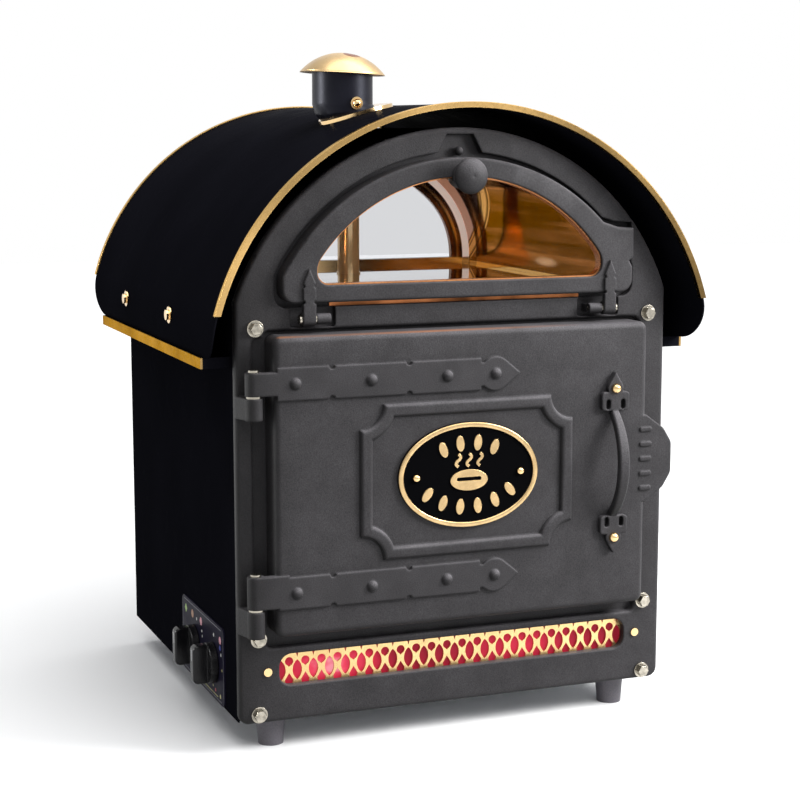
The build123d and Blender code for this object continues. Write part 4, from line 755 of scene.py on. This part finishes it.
class OVEN_OT_sheets(OvenOperator):
    """Gloss paint on the canopy and the sides, satin black on the chimney."""

    bl_idname = "oven.sheets"
    bl_label = "Painted sheet"

    def execute(self, context):
        dress(gloss_sheet(self.finishes.sheet), *SHEETS)
        dress(chimney_paint(), "chimney")
        return {"FINISHED"}


class OVEN_OT_brasswork(OvenOperator):
    """Satin edging, polished cap and ring, grille, and the copper round the window."""

    bl_idname = "oven.brasswork"
    bl_label = "Brasswork"

    def execute(self, context):
        brass = self.finishes.brass
        polished = self.finishes.polished
        dress(edging(brass), "canopy_trim_front", "canopy_trim_rear")
        dress(rail_finish(shade(brass, 0.8), self.finishes.sheet), "canopy_rail_left", "canopy_rail_right")
        small = metal(
            "brass_polished", polished, 0.13, (1, 1, 0.15), grain=0.0016, depth=0.00002, tarnish=0.86
        )
        dress(small, *SMALL_BRASS)
        dress(spun_cap(polished), "chimney_cap")
        dress(arch_frame(polished, self.finishes.lining), "rear_arch_frame")
        column = metal(
            "brass_column", (1.0, 0.70, 0.38), 0.12, (1, 1, 0.02), grain=0.003, depth=0.00003, metallic=0.35
        )
        dress(column, "display_column")
        dress(metal("copper_lining", (0.62, 0.27, 0.11), 0.3, tarnish=0.7), "window_bezel")
        dress(metal("copper_strip", (0.46, 0.17, 0.065), 0.35, tarnish=0.2), "sill_strip")
        dress(metal("grille_brass", (0.70, 0.48, 0.22), 0.32, grain=0.0012, tarnish=0.86), "grille")
        return {"FINISHED"}


class OVEN_OT_fasteners(OvenOperator):
    """Plated bolts on the front, and small rivets on the door's lining and the back."""

    bl_idname = "oven.fasteners"
    bl_label = "Bolts and rivets"

    def execute(self, context):
        dress(bolt_plating(self.finishes.nickel), "front_bolts")
        zinc = metal("zinc_rivet", (0.5, 0.5, 0.5), 0.35)
        self.back_rivets(zinc)
        self.lining_rivets(zinc)
        return {"FINISHED"}

    def back_rivets(self, zinc):
        """Rivets up both edges of the back and along its foot."""
        low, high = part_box("rear_panel")
        inset = 9 * MM
        lowest = low.z + 12 * MM
        pitch = 88 * MM
        spots = [(x, lowest + step * pitch) for x in (low.x + inset, high.x - inset) for step in range(5)]
        spots += [(x * MM, lowest) for x in (-120, -40, 40, 120)]
        mesh = bmesh.new()
        for x, z in spots:
            disc(mesh, Vector((x, high.y, z)), (0, 1, 0), RIVET_RADIUS, 2.2 * MM, bevel=1.2 * MM)
        piece("rear_rivets", mesh, zinc, "oven")

    def lining_rivets(self, zinc):
        """A rivet near each corner of the door's lining."""
        low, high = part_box("door_liner")
        mesh = bmesh.new()
        for x in (low.x + 21 * MM, high.x - 21 * MM):
            for z in (low.z + 22 * MM, high.z - 22 * MM):
                disc(mesh, Vector((x, high.y, z)), (0, 1, 0), RIVET_RADIUS, 1.6 * MM, bevel=0.9 * MM)
        piece("door_liner_rivets", mesh, zinc, "door")


class OVEN_OT_glazing(OvenOperator):
    """Clear glass in the window and at the back."""

    bl_idname = "oven.glazing"
    bl_label = "Glass"

    def execute(self, context):
        dress(glass("window_glass_clear", (0.97, 0.98, 0.985)), "window_glass")
        dress(glass("rear_glass_clear", (0.70, 0.70, 0.715)), "rear_glass")
        return {"FINISHED"}


class OVEN_OT_display(OvenOperator):
    """Polished lining, mirror floor and warm lamp of the display."""

    bl_idname = "oven.display"
    bl_label = "Display chamber"

    def execute(self, context):
        dress(polished_lining(self.finishes.lining), "display_liner")
        mirror = metal(
            "mirror_floor", (0.78, 0.78, 0.78), 0.035, (1, 0.05, 1), grain=0.01, depth=0.00001, tarnish=0.94
        )
        dress(mirror, "display_floor")
        dress(glowing("warm_lamp", (1.0, 0.74, 0.46), 9.0), "display_lamp")
        dress(metal("bracket_zinc", (0.45, 0.45, 0.46), 0.4), "lamp_holders")
        return {"FINISHED"}


class OVEN_OT_chamber(OvenOperator):
    """Steel lining, racks, elements and wool of the oven, and the inside of its door."""

    bl_idname = "oven.chamber"
    bl_label = "Oven chamber"

    def execute(self, context):
        steel = metal(
            "oven_lining_steel", (0.36, 0.35, 0.34), 0.38, (1, 0.02, 1),
            grain=0.004, depth=0.00006, tarnish=0.9,
        )
        dress(steel, "oven_liner", "shelf_runners", "door_liner")
        dress(metal("rack_chrome", (0.68, 0.68, 0.69), 0.18), "oven_rack_upper", "oven_rack_lower")
        oxide = metal("element_oxide", (0.10, 0.085, 0.075), 0.55, tarnish=0.6)
        dress(oxide, "element_upper", "element_lower")
        dress(moulded("mineral_wool", (0.42, 0.34, 0.16), 0.95, grain=0.004, depth=0.0015), "insulation")
        dress(moulded("door_seal_braid", (0.10, 0.10, 0.10), 0.9, grain=0.0022, depth=0.0008), "door_gasket")
        return {"FINISHED"}


class OVEN_OT_grille(OvenOperator):
    """Red screen and lamp behind the grille."""

    bl_idname = "oven.grille"
    bl_label = "Lit grille"

    def execute(self, context):
        dress(red_screen(self.finishes.glow), "grille_diffuser")
        dress(glowing("red_tube", (1.0, 0.25, 0.2), 3.0), "grille_lamp")
        return {"FINISHED"}


class OVEN_OT_controls(OvenOperator):
    """Control plate with its printed marks, knobs with pointers, and the parts behind them."""

    bl_idname = "oven.controls"
    bl_label = "Controls"

    def execute(self, context):
        dress(plate_paint(self.finishes.plate), "control_plate")
        knob = moulded(
            "knob_plastic", (0.0060, 0.0058, 0.0068), 0.2,
            grain=0.0009, depth=0.00003, gloss=0.2, edge=1.2 * MM,
        )
        dress(knob, "thermostat_knob", "selector_knob")
        dress(metal("spindle_steel", (0.5, 0.5, 0.5), 0.3), "thermostat_spindle", "selector_spindle")
        dress(moulded("switch_body", (0.12, 0.12, 0.12), 0.6), "thermostat", "selector_switch")
        self.print_lines()
        self.print_marks()
        self.print_dashes()
        self.print_pointers()
        return {"FINISHED"}

    def print_lines(self):
        """Thin line round the plate, open at its corners."""
        low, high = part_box("control_plate")
        inset = 3.0 * MM
        width = 0.6 * MM
        corner = 12 * MM
        x = low.x - INK_THICKNESS / 2
        near, far = low.y + inset, high.y - inset
        base, top = low.z + inset, high.z - inset
        mesh = bmesh.new()
        for y in (near, far):
            bar(mesh, Vector((x, y, (top + base) / 2)), (INK_THICKNESS, width, top - base - corner))
        for z in (top, base):
            bar(mesh, Vector((x, (near + far) / 2, z)), (INK_THICKNESS, far - near - corner, width))
        piece("plate_lines", mesh, moulded("print_grey", GREY_INK), "oven")

    def print_marks(self):
        """Small plain marks over the plate."""
        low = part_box("control_plate")[0]
        for name, (ink, spots) in MARKS.items():
            mesh = bmesh.new()
            for along, up, radius, sides in spots:
                spot = Vector((low.x, low.y + along * MM, low.z + up * MM))
                disc(mesh, spot, (-1, 0, 0), radius * MM, INK_THICKNESS, sides=sides)
            piece(name, mesh, moulded(name + "_ink", ink), "oven")

    def print_dashes(self):
        """Row of dashes along the foot of the plate."""
        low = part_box("control_plate")[0]
        first = 24 * MM
        pitch = 4.2 * MM
        height = low.z + 5.6 * MM
        mesh = bmesh.new()
        for step in range(14):
            spot = Vector((low.x - INK_THICKNESS / 2, low.y + first + pitch * step, height))
            bar(mesh, spot, (INK_THICKNESS, 2.6 * MM, 1.2 * MM))
        piece("plate_dashes", mesh, moulded("print_yellow", YELLOW_INK), "oven")

    def print_pointers(self):
        """White line on each knob's grip."""
        white = moulded("pointer_white", (0.7, 0.7, 0.7))
        for knob, body in (("thermostat_knob", "thermostat_dial"), ("selector_knob", "selector_dial")):
            low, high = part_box(knob)
            centre = (low + high) / 2
            mesh = bmesh.new()
            spot = Vector((low.x - 0.02 * MM, centre.y, centre.z + 9 * MM))
            bar(mesh, spot, (0.16 * MM, 1.6 * MM, 11 * MM))
            piece(knob + "_pointer", mesh, white, body)


class OVEN_OT_badge(OvenOperator):
    """Brass badge with a black ground behind its plain motif."""

    bl_idname = "oven.badge"
    bl_label = "Badge"

    def execute(self, context):
        dress(badge_enamel(shade(self.finishes.polished, 0.78)), "badge")
        return {"FINISHED"}


class OVEN_OT_underside(OvenOperator):
    """Tray, back, spacers, feet and cord gland."""

    bl_idname = "oven.underside"
    bl_label = "Tray, back and feet"

    def execute(self, context):
        zinc = metal("galvanised_sheet", (0.42, 0.43, 0.45), 0.42, grain=0.012, tarnish=0.75)
        dress(zinc, "base_tray", "canopy_spacers")
        dress(gloss_sheet(shade(self.finishes.sheet, 2.0)), "rear_panel")
        dress(moulded("foot_plastic", (0.125, 0.116, 0.133), grain=0.0014), "feet")
        dress(moulded("gland_nylon", (0.03, 0.03, 0.03), 0.45), "cable_gland")
        return {"FINISHED"}


class OVEN_OT_smooth(OvenOperator):
    """Even shading over the curved faces of every CAD node."""

    bl_idname = "oven.smooth"
    bl_label = "Even shading"

    def execute(self, context):
        group = even_shading()
        for node in NODES.values():
            node.modifiers.new("even_shading", "NODES").node_group = group
        return {"FINISHED"}


class OVEN_OT_stage(OvenOperator):
    """Pale floor, soft lamps, white surroundings and the camera."""

    bl_idname = "oven.stage"
    bl_label = "Stage"

    def execute(self, context):
        scene = context.scene
        stage = scene.oven_stage
        self.floor(scene, stage.floor)
        self.world(scene, stage.surroundings)
        self.key_lamp(scene, stage.key_power)
        self.rim_lamp(scene, stage.rim_power)
        self.overhead_light(scene, stage.overhead)
        self.camera(scene, stage.lens)
        scene.view_settings.view_transform = "Standard"
        return {"FINISHED"}

    def seen_directly(self, tree):
        """One for camera, mirror and glass rays, nought for the light that bounces."""
        path = tree.nodes.new("ShaderNodeLightPath")
        total = path.outputs["Is Camera Ray"]
        for name in ("Is Glossy Ray", "Is Transmission Ray"):
            either = tree.nodes.new("ShaderNodeMath")
            either.operation = "MAXIMUM"
            tree.links.new(total, either.inputs[0])
            tree.links.new(path.outputs[name], either.inputs[1])
            total = either.outputs[0]
        return total

    def floor(self, scene, colour):
        """Wide floor that looks white and sends little light back up."""
        finish = Finish("floor_paper")
        tone = finish.mix(self.seen_directly(finish.tree), shade(colour, 0.35), colour)
        finish.set(Base_Color=tone, Roughness=0.9, Specular_IOR_Level=0.1)
        mesh = bmesh.new()
        bmesh.ops.create_grid(mesh, x_segments=1, y_segments=1, size=FLOOR_REACH)
        data = bpy.data.meshes.new("floor")
        mesh.to_mesh(data)
        mesh.free()
        data.materials.append(finish.material)
        made = bpy.data.objects.new("floor", data)
        scene.collection.objects.link(made)

    def world(self, scene, strength):
        """White for the camera, reflections and glass; dimmer for lighting."""
        world = bpy.data.worlds.new("studio")
        scene.world = world
        world.use_nodes = True
        tree = world.node_tree
        tree.nodes.clear()
        output = tree.nodes.new("ShaderNodeOutputWorld")
        light = tree.nodes.new("ShaderNodeBackground")
        light.inputs["Color"].default_value = (0.95, 0.97, 1.0, 1.0)
        light.inputs["Strength"].default_value = strength
        seen = tree.nodes.new("ShaderNodeBackground")
        seen.inputs["Color"].default_value = (1.0, 1.0, 1.0, 1.0)
        seen.inputs["Strength"].default_value = 1.0
        mix = tree.nodes.new("ShaderNodeMixShader")
        tree.links.new(self.seen_directly(tree), mix.inputs["Fac"])
        tree.links.new(light.outputs[0], mix.inputs[1])
        tree.links.new(seen.outputs[0], mix.inputs[2])
        tree.links.new(mix.outputs[0], output.inputs["Surface"])

    def key_lamp(self, scene, power):
        """Large round lamp at the front right."""
        data = bpy.data.lights.new("key", "AREA")
        data.shape = "DISK"
        data.size = KEY_WIDTH
        data.energy = power
        self.aim(scene, data, KEY_PLACE, KEY_TARGET - KEY_PLACE)

    def rim_lamp(self, scene, power):
        """Tall lamp at the left that only shows as a sheen on pipe, brass and glossy parts."""
        data = bpy.data.lights.new("rim", "AREA")
        data.shape = "RECTANGLE"
        data.size = RIM_WIDTH
        data.size_y = RIM_HEIGHT
        data.energy = power
        self.aim(scene, data, RIM_PLACE, RIM_TARGET - RIM_PLACE).visible_diffuse = False

    def overhead_light(self, scene, strength):
        """Very soft light from above, a little to the front."""
        data = bpy.data.lights.new("overhead", "SUN")
        data.energy = strength
        data.angle = math.radians(OVERHEAD_SPREAD)
        self.aim(scene, data, OVERHEAD_PLACE, -OVERHEAD_PLACE)

    def camera(self, scene, lens):
        """Camera at the front left, a little above the oven and looking slightly down."""
        data = bpy.data.cameras.new("camera")
        data.lens = lens
        data.sensor_width = SENSOR_WIDTH
        yaw, pitch = math.radians(CAMERA_YAW), math.radians(CAMERA_PITCH)
        look = Vector((math.sin(yaw) * math.cos(pitch), math.cos(yaw) * math.cos(pitch), -math.sin(pitch)))
        scene.camera = self.aim(scene, data, CAMERA_PLACE, look)

    def aim(self, scene, data, place, look):
        """Puts a lamp or camera at a place, looking along a direction."""
        made = bpy.data.objects.new(data.name, data)
        made.location = place
        made.rotation_mode = "QUATERNION"
        made.rotation_quaternion = look.to_track_quat("-Z", "Y")
        scene.collection.objects.link(made)
        return made


OPERATORS = (
    OVEN_OT_castings,
    OVEN_OT_sheets,
    OVEN_OT_brasswork,
    OVEN_OT_fasteners,
    OVEN_OT_glazing,
    OVEN_OT_display,
    OVEN_OT_chamber,
    OVEN_OT_grille,
    OVEN_OT_controls,
    OVEN_OT_badge,
    OVEN_OT_underside,
    OVEN_OT_smooth,
    OVEN_OT_stage,
)


class OVEN_PT_panel(bpy.types.Panel):
    """Settings and buttons of the oven's finishes."""

    bl_label = "Potato oven"
    bl_space_type = "VIEW_3D"
    bl_region_type = "UI"
    bl_category = "Oven"

    def draw(self, context):
        for group in (context.scene.oven_finishes, context.scene.oven_stage):
            column = self.layout.column()
            for name in group.__annotations__:
                column.prop(group, name)
        for operator in OPERATORS:
            self.layout.operator(operator.bl_idname)


CLASSES = (OvenFinishes, OvenStage, *OPERATORS, OVEN_PT_panel)


def register():
    for one in CLASSES:
        bpy.utils.register_class(one)
    bpy.types.Scene.oven_finishes = bpy.props.PointerProperty(type=OvenFinishes)
    bpy.types.Scene.oven_stage = bpy.props.PointerProperty(type=OvenStage)


def unregister():
    del bpy.types.Scene.oven_stage
    del bpy.types.Scene.oven_finishes
    for one in reversed(CLASSES):
        bpy.utils.unregister_class(one)


def main():
    """Makes the whole scene."""
    register()
    for operator in OPERATORS:
        category, name = operator.bl_idname.split(".")
        getattr(getattr(bpy.ops, category), name)()


if __name__ == "__main__":
    main()
